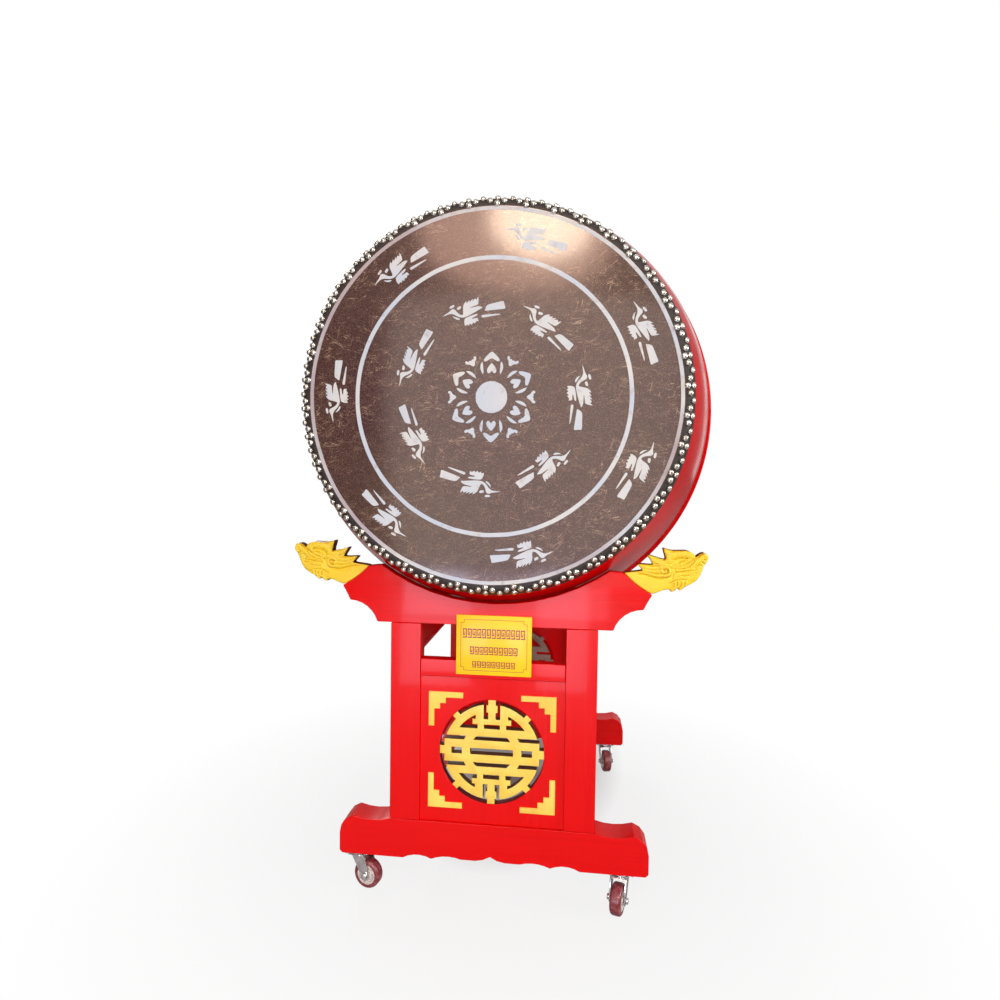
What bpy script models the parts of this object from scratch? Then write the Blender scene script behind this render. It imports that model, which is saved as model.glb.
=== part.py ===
"""Temple drum on a wheeled wooden stand.

Metres, +Z up. The origin is on the floor at the middle of the stand. The drum's axis runs along Y, the front
of the stand faces -Y, and left and right are as seen from the front. The stand has a front and a rear frame,
joined by four side rails. The drum lies in the round cuts of the two cradle boards and lifts straight up.
"""

import math

import bmesh
import bpy
from mathutils import Matrix, Vector
from mathutils.geometry import delaunay_2d_cdt

# Clearance between pieces that touch
FIT = 0.0003

# Edges sharper than this are bevelled, and shaded as corners
SHARP_ANGLE = math.radians(32.0)

# Drum: the half length is over the heads, and the radii are those of the bare wood
DRUM_UNDERSIDE_Z = 0.5796
DRUM_HALF = 0.436
BELLY_RADIUS = 0.492
END_RADIUS = 0.3849
SHELL_WALL = 0.022
BAND_HALF_WIDTH = 0.120
BAND_RAISE = 0.010
BAND_BEVEL = 0.003
SKIN_THICKNESS = 0.0025
SKIN_ROUNDING = 0.0032
SKIN_FLANGE = 0.028
DRUM_STEPS = 60

# Tacks of one head: distance of each row behind the face, and the share of the pitches that it fills
TACK_PITCHES = 84
TACK_RADIUS = 0.0063
TACK_HEIGHT = 0.0048
TACK_SIDES = 5
TACK_ROW_NEAR = 0.0068
TACK_ROW_MIDDLE = 0.0120
TACK_ROW_FAR = 0.0205
TACK_STRIP_THICKNESS = 0.0008
TACK_STRIP_MARGIN = 0.0006

# Frames: every member is flush with the outer faces, and the drum stands out past them
DRUM_OVERHANG = 0.076
EDGE_SOFTENING = 0.0015
POST_INNER_X = 0.1566
POST_WIDTH = 0.0664
POST_DEPTH = 0.036

# Foot beam: it stands on the casters
CASTER_HEIGHT = 0.085
FOOT_HALF_LENGTH = 0.3364
FOOT_HEIGHT = 0.0855
FOOT_DEPTH = 0.058
FOOT_HUMP_X = 0.3060
FOOT_DISH_X = 0.2650
FOOT_DISH_DEPTH = 0.0065
FOOT_SHOULDER_DROP = 0.0400
FOOT_SHOULDER_MIDDLE_X = 0.3272
FOOT_TOE_CHAMFER = 0.0060

# Foot beam's scalloped lower edge: places from the middle outwards and heights above its flat ends
SCALLOP_NOTCH_HEIGHT = 0.0164
SCALLOP_NOTCH_END = (0.0151, 0.0088)
SCALLOP_LOBE_X = (0.0323, 0.0645)
SCALLOP_LOBE_HEIGHT = 0.0055
SCALLOP_ARCH_X = 0.1008
SCALLOP_ARCH_HEIGHT = 0.0093
SCALLOP_CUSP_X = 0.1296
SCALLOP_CUSP_HEIGHT = 0.0020
SCALLOP_OUTER_ARCH_X = 0.1690
SCALLOP_OUTER_ARCH_HEIGHT = 0.0080
SCALLOP_END_X = 0.1930

# Cradle board, with the round seat of the drum and a neck for each dragon head
BOARD_BOTTOM_Z = 0.6042
BOARD_DEPTH = 0.026
SEAT_END_ANGLE = math.radians(34.8)
SCOOP_START = (0.2540, 0.0)
SCOOP_MIDDLE = (0.2700, 0.0268)
SCOOP_CUSP = (0.3153, 0.0458)
NECK_UNDER_MIDDLE = (0.3222, 0.0598)
NECK_LOW = (0.3324, 0.0775)
NECK_MIDDLE = (0.2966, 0.1006)
NECK_TOP = (0.2735, 0.1219)

# Dragon head's outline from the neck's top round the mane, brow, nose, jaw and beard, from the board's bottom
HEAD_DEPTH = 0.028
HEAD_OUTLINE = (
    (0.3133, 0.1269),
    (0.3000, 0.1416),
    (0.3352, 0.1393),
    (0.3204, 0.1616),
    (0.3605, 0.1499),
    (0.3530, 0.1758),
    (0.3699, 0.1702),
    (0.3864, 0.1707),
    (0.4041, 0.1716),
    (0.4148, 0.1655),
    (0.4197, 0.1574),
    (0.4262, 0.1634),
    (0.4365, 0.1687),
    (0.4449, 0.1614),
    (0.4438, 0.1516),
    (0.4341, 0.1366),
    (0.4290, 0.1207),
    (0.4211, 0.1084),
    (0.4104, 0.1019),
    (0.3983, 0.0957),
    (0.3883, 0.0867),
    (0.3838, 0.0936),
    (0.3802, 0.0886),
    (0.3713, 0.0833),
    (0.3671, 0.0903),
    (0.3541, 0.0877),
)
TONGUE_WIDTH = 0.034
TONGUE_LENGTH = 0.016
TONGUE_ROOT = 0.006

# Tenons of posts and rails: TENON_ROOT is how far one reaches into the member that carries it
TENON_ROOT = 0.010
TENON_THICKNESS = 0.010
POST_TENON_WIDTH = 0.040
POST_TENON_LENGTH = 0.030
RAIL_TENON_LENGTH = 0.018
RAIL_TENON_SHOULDER = 0.006

# Mid rail and panel
MID_RAIL_BOTTOM_Z = 0.4902
MID_RAIL_HEIGHT = 0.0373
MID_RAIL_DEPTH = 0.026
PANEL_RECESS = 0.006
PANEL_THICKNESS = 0.018
# The rear panel is closed: its fretwork lies in a round pocket on each face
POCKET_DEPTH = 0.007
ORNAMENT_CENTRE_Z = 0.3290

# Medallion, measured from its centre: x is across and z is up
HOLE_RADIUS = 0.1139
HOLE_STEPS = 48
RING_OUTER = 0.1040
RING_INNER = 0.0870
RING_GAP_HALF = 0.0180
STUB_OUTER = 0.0350
HUB_RING_OUTER = 0.0650
HUB_RING_INNER = 0.0470
HUB_RING_STEPS = 32
LONG_BAR_Z = (0.0330, 0.0500)
MIDDLE_BAR_Z = (0.0070, 0.0243)
END_BLOCK_X = (0.0877, 0.1030)
SIDE_TAB_HALF = 0.0090
CROSSBAR_Z = (0.0595, 0.0710)
CROSSBAR_HALF = 0.0420
UPRIGHT_X = (0.0175, 0.0310)
STEM_HALF = 0.0080
STEM_BLOCK_HALF = 0.0120
STEM_BLOCK_Z = (0.0860, 0.1015)
DIAGONAL_TAB_HALF = 0.0070

# Stepped corner ornaments, measured from their outer corner
ORNAMENT_THICKNESS = 0.003
ORNAMENT_CORNER_X = 0.1380
ORNAMENT_CORNER_Z = 0.1270
ORNAMENT_ARM = 0.0750
ORNAMENT_STEPS = (0.0120, 0.0245, 0.0370)

# Plaque over the window
PLAQUE_LEFT_X = -0.078
PLAQUE_WIDTH = 0.162
PLAQUE_BOTTOM_Z = 0.4985
PLAQUE_HEIGHT = 0.1285
PLAQUE_THICKNESS = 0.003
PLAQUE_SOFTENING = 0.0005

# Side rails between the frames
SIDE_RAIL_THICKNESS = 0.030
TOP_RAIL_BOTTOM_Z = 0.520
TOP_RAIL_HEIGHT = 0.080
BOTTOM_RAIL_BOTTOM_Z = 0.105
BOTTOM_RAIL_HEIGHT = 0.050

# Casters: distance of each swivel axis from the foot's end, and the direction in which its wheel trails
LEFT_CASTER_INSET = 0.0364
RIGHT_CASTER_INSET = 0.0554
FRONT_LEFT_TRAIL = math.radians(-14.0)
FRONT_RIGHT_TRAIL = math.radians(-107.0)
REAR_LEFT_TRAIL = math.radians(-60.0)
REAR_RIGHT_TRAIL = math.radians(-80.0)
PLATE_LENGTH = 0.060
PLATE_WIDTH = 0.048
PLATE_THICKNESS = 0.0025
RACEWAY_RADIUS = 0.021
RACEWAY_LOW_RADIUS = 0.018
RACEWAY_HEIGHT = 0.0068
KINGPIN_RADIUS = 0.004
KINGPIN_HEAD_RADIUS = 0.0065
KINGPIN_HEAD_HEIGHT = 0.0025
FORK_BRIDGE_THICKNESS = 0.0030
FORK_BRIDGE_BACK = 0.019
FORK_BRIDGE_FRONT = 0.021
FORK_LEG_FRONT = 0.0243
FORK_LEG_BACK = 0.008
FORK_LEG_THICKNESS = 0.0025
FORK_GAP = 0.030
FORK_EYE_RADIUS = 0.010
WHEEL_TRAIL = 0.024
WHEEL_RADIUS = 0.0315
TREAD_WIDTH = 0.024
TREAD_SHOULDER = 0.0032
HUB_RADIUS = 0.0220
HUB_WIDTH = 0.026
HUB_RIM_THICKNESS = 0.0045
HUB_BOSS_RADIUS = 0.0090
HUB_RECESS = 0.0035
AXLE_RADIUS = 0.004
AXLE_HEAD_RADIUS = 0.0068
AXLE_HEAD_HEIGHT = 0.0045
WHEEL_STEPS = 16
BORE_STEPS = 12

# Sizes that follow
DRUM_AXIS_Z = DRUM_UNDERSIDE_Z + BELLY_RADIUS + BAND_RAISE
FRAME_Y = DRUM_HALF - DRUM_OVERHANG
POST_OUTER_X = POST_INNER_X + POST_WIDTH
POST_MIDDLE_X = POST_INNER_X + POST_WIDTH / 2
FOOT_TOP_Z = CASTER_HEIGHT + FOOT_HEIGHT
CASTER_LEFT_X = LEFT_CASTER_INSET - FOOT_HALF_LENGTH
CASTER_RIGHT_X = FOOT_HALF_LENGTH - RIGHT_CASTER_INSET
SHELL_HALF = DRUM_HALF - SKIN_THICKNESS - FIT
FLANGE_END_Y = DRUM_HALF - SKIN_FLANGE
SEAT_Y = FRAME_Y - BOARD_DEPTH
TENON_Y = FRAME_Y - BOARD_DEPTH / 2
FORK_BRIDGE_TOP = CASTER_HEIGHT - PLATE_THICKNESS - RACEWAY_HEIGHT - 2 * FIT
FORK_BRIDGE_LOW = FORK_BRIDGE_TOP - FORK_BRIDGE_THICKNESS
FORK_HALF_WIDTH = FORK_GAP / 2 + FORK_LEG_THICKNESS

# Materials: colour, roughness and metallic value
FINISHES = {
    "red_lacquer": ((0.78, 0.004, 0.007), 0.22, 0.0),
    "barrel_lacquer": ((0.46, 0.005, 0.008), 0.16, 0.0),
    "hide": ((0.19, 0.105, 0.080), 0.38, 0.0),
    "tack_metal": ((0.62, 0.60, 0.54), 0.28, 1.0),
    "gold_paint": ((0.86, 0.64, 0.12), 0.42, 0.0),
    "bare_wood": ((0.30, 0.19, 0.14), 0.75, 0.0),
    "carving_gold": ((0.88, 0.60, 0.04), 0.38, 0.0),
    "plaque_yellow": ((0.92, 0.70, 0.01), 0.20, 0.0),
    "zinc_plate": ((0.68, 0.69, 0.70), 0.30, 1.0),
    "hub_plastic": ((0.72, 0.70, 0.66), 0.40, 0.0),
    "maroon_tread": ((0.17, 0.012, 0.022), 0.35, 0.0),
}


def clear_scene():
    for item in list(bpy.data.objects):
        bpy.data.objects.remove(item, do_unlink=True)


def finish(kind):
    """A new material of one of the named finishes."""
    colour, roughness, metallic = FINISHES[kind]
    made = bpy.data.materials.new(kind)
    made.use_nodes = True
    shader = made.node_tree.nodes["Principled BSDF"]
    shader.inputs["Base Color"].default_value = (*colour, 1.0)
    shader.inputs["Roughness"].default_value = roughness
    shader.inputs["Metallic"].default_value = metallic
    return made


def add_piece(name, shape, kind, location=(0.0, 0.0, 0.0), turn=0.0, parent=None):
    """Makes a named object of a bmesh, turned about Z and placed under its parent."""
    bmesh.ops.recalc_face_normals(shape, faces=shape.faces)
    mesh = bpy.data.meshes.new(name)
    shape.to_mesh(mesh)
    shape.free()
    mesh.materials.append(finish(kind))
    mesh.shade_smooth()
    mesh.set_sharp_from_angle(angle=SHARP_ANGLE)
    piece = bpy.data.objects.new(name, mesh)
    piece.location = location
    piece.rotation_euler = (0.0, 0.0, turn)
    piece.parent = parent
    bpy.context.collection.objects.link(piece)
    return piece


def add_axis(name, location, turn=0.0):
    """An empty on the axis of a moving group."""
    axis = bpy.data.objects.new(name, None)
    axis.location = location
    axis.rotation_euler = (0.0, 0.0, turn)
    bpy.context.collection.objects.link(axis)
    return axis


def combine(shape, other, operation):
    """The Boolean of two bmeshes. Both are used up."""
    holders = []
    for part in (shape, other):
        bmesh.ops.recalc_face_normals(part, faces=part.faces)
        mesh = bpy.data.meshes.new("boolean")
        part.to_mesh(mesh)
        part.free()
        holder = bpy.data.objects.new("boolean", mesh)
        bpy.context.collection.objects.link(holder)
        holders.append(holder)
    step = holders[0].modifiers.new("boolean", "BOOLEAN")
    step.operation = operation
    step.object = holders[1]
    bpy.context.view_layer.update()
    graph = bpy.context.evaluated_depsgraph_get()
    result = bmesh.new()
    result.from_mesh(holders[0].evaluated_get(graph).to_mesh())
    for holder in holders:
        mesh = holder.data
        bpy.data.objects.remove(holder, do_unlink=True)
        bpy.data.meshes.remove(mesh)
    return result


def cut(shape, cutter):
    return combine(shape, cutter, "DIFFERENCE")


def join(shape, other):
    return combine(shape, other, "UNION")


def prism(outline, low, high):
    """A flat outline of (x, z) points, extruded along Y from low to high."""
    shape = bmesh.new()
    near = [shape.verts.new((x, low, z)) for x, z in outline]
    far = [shape.verts.new((x, high, z)) for x, z in outline]
    caps = [shape.faces.new(near), shape.faces.new(far[::-1])]
    for index in range(len(outline)):
        following = (index + 1) % len(outline)
        shape.faces.new((near[index], far[index], far[following], near[following]))
    bmesh.ops.recalc_face_normals(shape, faces=shape.faces)
    if len(outline) > 4:
        bmesh.ops.triangulate(shape, faces=caps, ngon_method="EAR_CLIP")
    return shape


def box(low, high):
    """A box between two corners."""
    outline = ((low[0], low[2]), (high[0], low[2]), (high[0], high[2]), (low[0], high[2]))
    return prism(outline, low[1], high[1])


def grown(low, high, margin):
    """The corners of a box made larger by a margin on every side."""
    return [value - margin for value in low], [value + margin for value in high]


def soften(shape, width=EDGE_SOFTENING):
    """Bevels the sharp edges of a shape."""
    edges = [edge for edge in shape.edges if edge.calc_face_angle(0.0) > SHARP_ANGLE]
    bmesh.ops.bevel(shape, geom=edges, offset=width, offset_type="OFFSET", segments=1, affect="EDGES",
                    clamp_overlap=True)
    return shape


def turned(profile, steps):
    """Turns a profile of (radius, y) points about Y. Ends on the axis are closed, others form a ring."""
    shape = bmesh.new()
    rings = []
    for radius, along in profile:
        if radius == 0.0:
            rings.append([shape.verts.new((0.0, along, 0.0))])
            continue
        ring = []
        for step in range(steps):
            angle = 2.0 * math.pi * step / steps - math.pi / 2
            ring.append(shape.verts.new((radius * math.cos(angle), along, radius * math.sin(angle))))
        rings.append(ring)
    pairs = list(zip(rings, rings[1:]))
    if profile[0][0] > 0.0:
        pairs.append((rings[-1], rings[0]))
    for first, second in pairs:
        for step in range(steps):
            following = (step + 1) % steps
            corners = [first[step % len(first)], first[following % len(first)],
                       second[following % len(second)], second[step % len(second)]]
            shape.faces.new(list(dict.fromkeys(corners)))
    return shape


def stood_up(shape):
    """Turns a shape made about Y so that its axis is Z."""
    bmesh.ops.rotate(shape, verts=shape.verts, matrix=Matrix.Rotation(math.pi / 2, 3, "X"))
    return shape


def arc_through(start, middle, end, steps):
    """Points of the circle through three points, with its ends."""
    (ax, az), (bx, bz), (cx, cz) = start, middle, end
    scale = 2.0 * (ax * (bz - cz) + bx * (cz - az) + cx * (az - bz))
    a_square = ax * ax + az * az
    b_square = bx * bx + bz * bz
    c_square = cx * cx + cz * cz
    centre_x = (a_square * (bz - cz) + b_square * (cz - az) + c_square * (az - bz)) / scale
    centre_z = (a_square * (cx - bx) + b_square * (ax - cx) + c_square * (bx - ax)) / scale
    radius = math.hypot(ax - centre_x, az - centre_z)
    first = math.atan2(az - centre_z, ax - centre_x)
    sweep = math.atan2(cz - centre_z, cx - centre_x) - first
    sweep = (sweep + math.pi) % (2.0 * math.pi) - math.pi
    points = []
    for step in range(steps + 1):
        angle = first + sweep * step / steps
        points.append((centre_x + radius * math.cos(angle), centre_z + radius * math.sin(angle)))
    return points


def mirrored(half):
    """A whole outline from its right half, which runs upwards or downwards off the middle line."""
    return list(half) + [(-x, z) for x, z in reversed(half) if x > 0.0]


def on_side(outline, right):
    """An outline drawn for the right side, or its mirror image."""
    return list(outline) if right else [(-x, z) for x, z in reversed(outline)]


def span_y(rear, near, far):
    """The low and high y of something between two distances from the middle of the stand."""
    return (near, far) if rear else (-far, -near)


def shell_radius(along):
    """Outer radius of the bare barrel at a distance along its axis."""
    return BELLY_RADIUS - (BELLY_RADIUS - END_RADIUS) * (along / DRUM_HALF) ** 2


def flange_radius(along):
    """Radius of the straight cone over which the hide is turned down."""
    start = shell_radius(DRUM_HALF)
    slope = (shell_radius(FLANGE_END_Y) - start) / (DRUM_HALF - FLANGE_END_Y)
    return start + slope * (DRUM_HALF - along)


def shell_stations():
    """Places along the axis at which the barrel's outer profile has a point, from the middle to one end."""
    return [0.0, BAND_HALF_WIDTH, (BAND_HALF_WIDTH + SEAT_Y) / 2, SEAT_Y, FLANGE_END_Y, SHELL_HALF]


def both_ends(profile):
    """A profile given from the middle to one end, run from end to end."""
    return [(radius, -along) for radius, along in reversed(profile)] + \
           [(radius, along) for radius, along in profile if along > 0.0]


def make_shell(axis):
    outer = [(shell_radius(along), along) for along in shell_stations()[:-1]]
    outer.append((flange_radius(SHELL_HALF), SHELL_HALF))
    inner = [(shell_radius(along) - SHELL_WALL, along) for along in (0.0, SHELL_HALF / 2, SHELL_HALF)]
    profile = both_ends(outer) + both_ends(inner)[::-1]
    add_piece("drum_shell", turned(profile, DRUM_STEPS), "barrel_lacquer", parent=axis)


def make_belly_band(axis):
    inner = [(shell_radius(along) + FIT, along) for along in (0.0, BAND_HALF_WIDTH)]
    outer = [(shell_radius(along) + BAND_RAISE, along) for along in (0.0, BAND_HALF_WIDTH / 2)]
    outer.append((shell_radius(BAND_HALF_WIDTH) + BAND_RAISE, BAND_HALF_WIDTH - BAND_BEVEL))
    outer.append((shell_radius(BAND_HALF_WIDTH) + BAND_RAISE - BAND_BEVEL, BAND_HALF_WIDTH))
    profile = both_ends(outer) + both_ends(inner)[::-1]
    add_piece("belly_band", turned(profile, DRUM_STEPS), "barrel_lacquer", parent=axis)


def end_sign(end):
    return 1.0 if end == "rear" else -1.0


def make_skin(end, axis):
    """A hide head: a flat disc, and the hem that is turned down over the barrel."""
    sign = end_sign(end)
    outer_gap = FIT + SKIN_THICKNESS
    inner_face = DRUM_HALF - SKIN_THICKNESS
    shoulder = DRUM_HALF - SKIN_ROUNDING / 2
    disc = [
        (0.0, DRUM_HALF),
        (flange_radius(DRUM_HALF) + outer_gap - SKIN_ROUNDING, DRUM_HALF),
        (flange_radius(shoulder) + outer_gap, shoulder),
        (flange_radius(inner_face) + outer_gap, inner_face),
        (0.0, inner_face),
    ]
    disc = [(radius, along * sign) for radius, along in disc]
    add_piece(end + "_skin", turned(disc, DRUM_STEPS), "hide", parent=axis)
    hem_top = inner_face - FIT
    hem = [
        (flange_radius(hem_top) + outer_gap, hem_top),
        (flange_radius(FLANGE_END_Y) + outer_gap, FLANGE_END_Y),
        (flange_radius(FLANGE_END_Y) + FIT, FLANGE_END_Y),
        (flange_radius(hem_top) + FIT, hem_top),
    ]
    hem = [(radius, along * sign) for radius, along in hem]
    add_piece(end + "_skin_hem", turned(hem, DRUM_STEPS), "hide", parent=axis)


def tack_cell(pitch_arc, strip_width, centres):
    """Triangles of one pitch of the tack strip, with a hole under each tack.

    Points are (across, behind the face). The first four are the corners, then each tack's rim follows.
    """
    points = [Vector((0.0, 0.0)), Vector((pitch_arc, 0.0)), Vector((pitch_arc, strip_width)),
              Vector((0.0, strip_width))]
    edges = [(0, 1), (1, 2), (2, 3), (3, 0)]
    for across, behind in centres:
        first = len(points)
        for side in range(TACK_SIDES):
            angle = 2.0 * math.pi * side / TACK_SIDES
            points.append(Vector((across + TACK_RADIUS * math.cos(angle),
                                  behind + TACK_RADIUS * math.sin(angle))))
            edges.append((first + side, first + (side + 1) % TACK_SIDES))
    result = delaunay_2d_cdt(points, edges, [], 0, 1e-7)
    inner_radius = TACK_RADIUS * math.cos(math.pi / TACK_SIDES)
    triangles = []
    for face in result[2]:
        middle = sum((result[0][index] for index in face), Vector((0.0, 0.0))) / len(face)
        if all((middle - Vector(centre)).length > inner_radius for centre in centres):
            triangles.append([result[3][index][0] for index in face])
    return points, triangles


def make_tacks(end, axis):
    """The domed tacks of one head on the thin strip that they hold down, as one closed body."""
    sign = end_sign(end)
    strip_width = SKIN_FLANGE - 2 * TACK_STRIP_MARGIN
    seat = 2 * FIT + SKIN_THICKNESS
    # The strip's flat stretches keep clear of the round flange under them
    seat += flange_radius(FLANGE_END_Y) * (1.0 / math.cos(math.pi / TACK_PITCHES) - 1.0)
    pitch_angle = 2.0 * math.pi / TACK_PITCHES
    pitch_arc = pitch_angle * flange_radius(DRUM_HALF - SKIN_FLANGE / 2)
    slope = (flange_radius(FLANGE_END_Y) - flange_radius(DRUM_HALF)) / SKIN_FLANGE
    lean = math.atan(slope)

    def place(pitch, across, behind, height):
        """The point of the strip at a place in a pitch, at a height off its inner face."""
        along = DRUM_HALF - TACK_STRIP_MARGIN - behind
        angle = pitch_angle * pitch + across / pitch_arc * pitch_angle - math.pi / 2
        radius = flange_radius(along) + seat + height * math.cos(lean)
        along += height * math.sin(lean)
        return radius * math.cos(angle), sign * along, radius * math.sin(angle)

    rows = {
        "near": (pitch_arc * 0.25, TACK_ROW_NEAR - TACK_STRIP_MARGIN),
        "far": (pitch_arc * 0.25, TACK_ROW_FAR - TACK_STRIP_MARGIN),
        "middle": (pitch_arc * 0.75, TACK_ROW_MIDDLE - TACK_STRIP_MARGIN),
    }
    shape = bmesh.new()
    corners = {}
    for pitch in range(TACK_PITCHES):
        for key, behind, height in (("top_near", 0.0, TACK_STRIP_THICKNESS), ("low_near", 0.0, 0.0),
                                    ("top_far", strip_width, TACK_STRIP_THICKNESS),
                                    ("low_far", strip_width, 0.0)):
            corners[pitch, key] = shape.verts.new(place(pitch, 0.0, behind, height))
    for pitch in range(TACK_PITCHES):
        following = (pitch + 1) % TACK_PITCHES
        names = ("near", "middle", "far") if pitch % 2 == 0 else ("middle", "far")
        centres = [rows[name] for name in names]
        points, triangles = tack_cell(pitch_arc, strip_width, centres)
        verts = [corners[pitch, "top_near"], corners[following, "top_near"],
                 corners[following, "top_far"], corners[pitch, "top_far"]]
        for point in points[4:]:
            verts.append(shape.verts.new(place(pitch, point.x, point.y, TACK_STRIP_THICKNESS)))
        for triangle in triangles:
            shape.faces.new([verts[index] for index in triangle])
        for order, (across, behind) in enumerate(centres):
            rim = verts[4 + order * TACK_SIDES:4 + (order + 1) * TACK_SIDES]
            top = shape.verts.new(place(pitch, across, behind, TACK_STRIP_THICKNESS + TACK_HEIGHT))
            for side in range(TACK_SIDES):
                shape.faces.new((rim[side], rim[(side + 1) % TACK_SIDES], top))
        for first, second in (("low_near", "low_far"), ("top_near", "low_near"), ("top_far", "low_far")):
            shape.faces.new((corners[pitch, first], corners[following, first],
                             corners[following, second], corners[pitch, second]))
    add_piece(end + "_tacks", shape, "tack_metal", parent=axis)


def make_drum():
    axis = add_axis("drum_axis", (0.0, 0.0, DRUM_AXIS_Z))
    make_shell(axis)
    make_belly_band(axis)
    for end in ("front", "rear"):
        make_skin(end, axis)
        make_tacks(end, axis)


def post_tenon(rear, right, bottom, top):
    """The corners of a post's tenon between two heights."""
    centre = POST_MIDDLE_X if right else -POST_MIDDLE_X
    low_y, high_y = span_y(rear, TENON_Y - TENON_THICKNESS / 2, TENON_Y + TENON_THICKNESS / 2)
    return ((centre - POST_TENON_WIDTH / 2, low_y, bottom), (centre + POST_TENON_WIDTH / 2, high_y, top))


def mid_rail_tenon(rear, right):
    """The corners of the mid rail's tenon in a post."""
    low_y, high_y = span_y(rear, TENON_Y - TENON_THICKNESS / 2, TENON_Y + TENON_THICKNESS / 2)
    low_z = MID_RAIL_BOTTOM_Z + RAIL_TENON_SHOULDER
    high_z = MID_RAIL_BOTTOM_Z + MID_RAIL_HEIGHT - RAIL_TENON_SHOULDER
    inner = POST_INNER_X - RAIL_TENON_SHOULDER
    outer = POST_INNER_X + RAIL_TENON_LENGTH
    if right:
        return (inner, low_y, low_z), (outer, high_y, high_z)
    return (-outer, low_y, low_z), (-inner, high_y, high_z)


def side_rail_tenon(rear, right, upper):
    """The corners of a side rail's tenon, in a post if it is the upper rail, else in a foot beam."""
    centre = POST_MIDDLE_X if right else -POST_MIDDLE_X
    face = FRAME_Y - (POST_DEPTH if upper else FOOT_DEPTH)
    low_y, high_y = span_y(rear, face - RAIL_TENON_SHOULDER, face + RAIL_TENON_LENGTH)
    bottom = TOP_RAIL_BOTTOM_Z if upper else BOTTOM_RAIL_BOTTOM_Z
    height = TOP_RAIL_HEIGHT if upper else BOTTOM_RAIL_HEIGHT
    return ((centre - TENON_THICKNESS / 2, low_y, bottom + RAIL_TENON_SHOULDER),
            (centre + TENON_THICKNESS / 2, high_y, bottom + height - RAIL_TENON_SHOULDER))


def mortised(shape, tenon):
    """Cuts the pocket for a tenon, with clearance all round."""
    return cut(shape, box(*grown(*tenon, FIT)))


def foot_outline():
    """Foot beam seen from the front: scalloped below, dished on top outside the posts."""
    flat = CASTER_HEIGHT
    toe = FOOT_HALF_LENGTH - FOOT_TOE_CHAMFER
    lower = [
        (0.0, flat + SCALLOP_NOTCH_HEIGHT),
        (SCALLOP_NOTCH_END[0], flat + SCALLOP_NOTCH_END[1]),
        (SCALLOP_LOBE_X[0], flat + SCALLOP_LOBE_HEIGHT),
    ]
    lower += arc_through((SCALLOP_LOBE_X[1], flat + SCALLOP_LOBE_HEIGHT),
                         (SCALLOP_ARCH_X, flat + SCALLOP_ARCH_HEIGHT),
                         (SCALLOP_CUSP_X, flat + SCALLOP_CUSP_HEIGHT), 5)
    lower += arc_through((SCALLOP_CUSP_X, flat + SCALLOP_CUSP_HEIGHT),
                         (SCALLOP_OUTER_ARCH_X, flat + SCALLOP_OUTER_ARCH_HEIGHT),
                         (SCALLOP_END_X, flat), 5)[1:]
    end = [(toe, flat), (FOOT_HALF_LENGTH, flat + FOOT_TOE_CHAMFER)]
    shoulder = arc_through((FOOT_HALF_LENGTH, FOOT_TOP_Z - FOOT_SHOULDER_DROP),
                           (FOOT_SHOULDER_MIDDLE_X, FOOT_TOP_Z - FOOT_SHOULDER_DROP / 3),
                           (FOOT_HUMP_X, FOOT_TOP_Z), 3)
    dish = arc_through((FOOT_HUMP_X, FOOT_TOP_Z), (FOOT_DISH_X, FOOT_TOP_Z - FOOT_DISH_DEPTH),
                       (POST_OUTER_X, FOOT_TOP_Z), 4)[1:]
    return mirrored(lower + end + shoulder + dish)


def make_foot_beam(frame, rear):
    shape = soften(prism(foot_outline(), *span_y(rear, FRAME_Y - FOOT_DEPTH, FRAME_Y)))
    for right in (False, True):
        shape = mortised(shape, post_tenon(rear, right, FOOT_TOP_Z - POST_TENON_LENGTH, FOOT_TOP_Z + FIT))
        shape = mortised(shape, side_rail_tenon(rear, right, upper=False))
    add_piece(frame + "_foot_beam", shape, "red_lacquer")


def make_post(frame, rear, right):
    side = "right" if right else "left"
    low_x, high_x = (POST_INNER_X, POST_OUTER_X) if right else (-POST_OUTER_X, -POST_INNER_X)
    low_y, high_y = span_y(rear, FRAME_Y - POST_DEPTH, FRAME_Y)
    shape = soften(box((low_x, low_y, FOOT_TOP_Z + FIT), (high_x, high_y, BOARD_BOTTOM_Z - FIT)))
    shape = join(shape, box(*post_tenon(rear, right, FOOT_TOP_Z - POST_TENON_LENGTH, FOOT_TOP_Z + TENON_ROOT)))
    upper = post_tenon(rear, right, BOARD_BOTTOM_Z - TENON_ROOT, BOARD_BOTTOM_Z + POST_TENON_LENGTH)
    shape = join(shape, box(*upper))
    shape = mortised(shape, mid_rail_tenon(rear, right))
    shape = mortised(shape, side_rail_tenon(rear, right, upper=True))
    add_piece(f"{frame}_{side}_post", shape, "red_lacquer")


def board_point(point):
    """A point given from the bottom of the cradle board, in the object's own frame."""
    return point[0], point[1] + BOARD_BOTTOM_Z


def seat_arc():
    """The round seat from its right end down to the middle, with corners where the barrel has them."""
    radius = shell_radius(SEAT_Y) + FIT
    step = 2.0 * math.pi / DRUM_STEPS
    whole = int(SEAT_END_ANGLE / step)
    angles = [SEAT_END_ANGLE] + [step * index for index in range(whole, -1, -1)]
    return [(radius * math.sin(angle), DRUM_AXIS_Z - radius * math.cos(angle)) for angle in angles]


def neck_arc():
    """The joint between board and dragon head, from its low end to its top."""
    return arc_through(board_point(NECK_LOW), board_point(NECK_MIDDLE), board_point(NECK_TOP), 4)


def neck_directions():
    """Unit vectors along the neck joint, towards its top, and square to it, towards the head."""
    along = Vector((NECK_TOP[0] - NECK_LOW[0], NECK_TOP[1] - NECK_LOW[1])).normalized()
    return along, Vector((along.y, -along.x))


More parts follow.
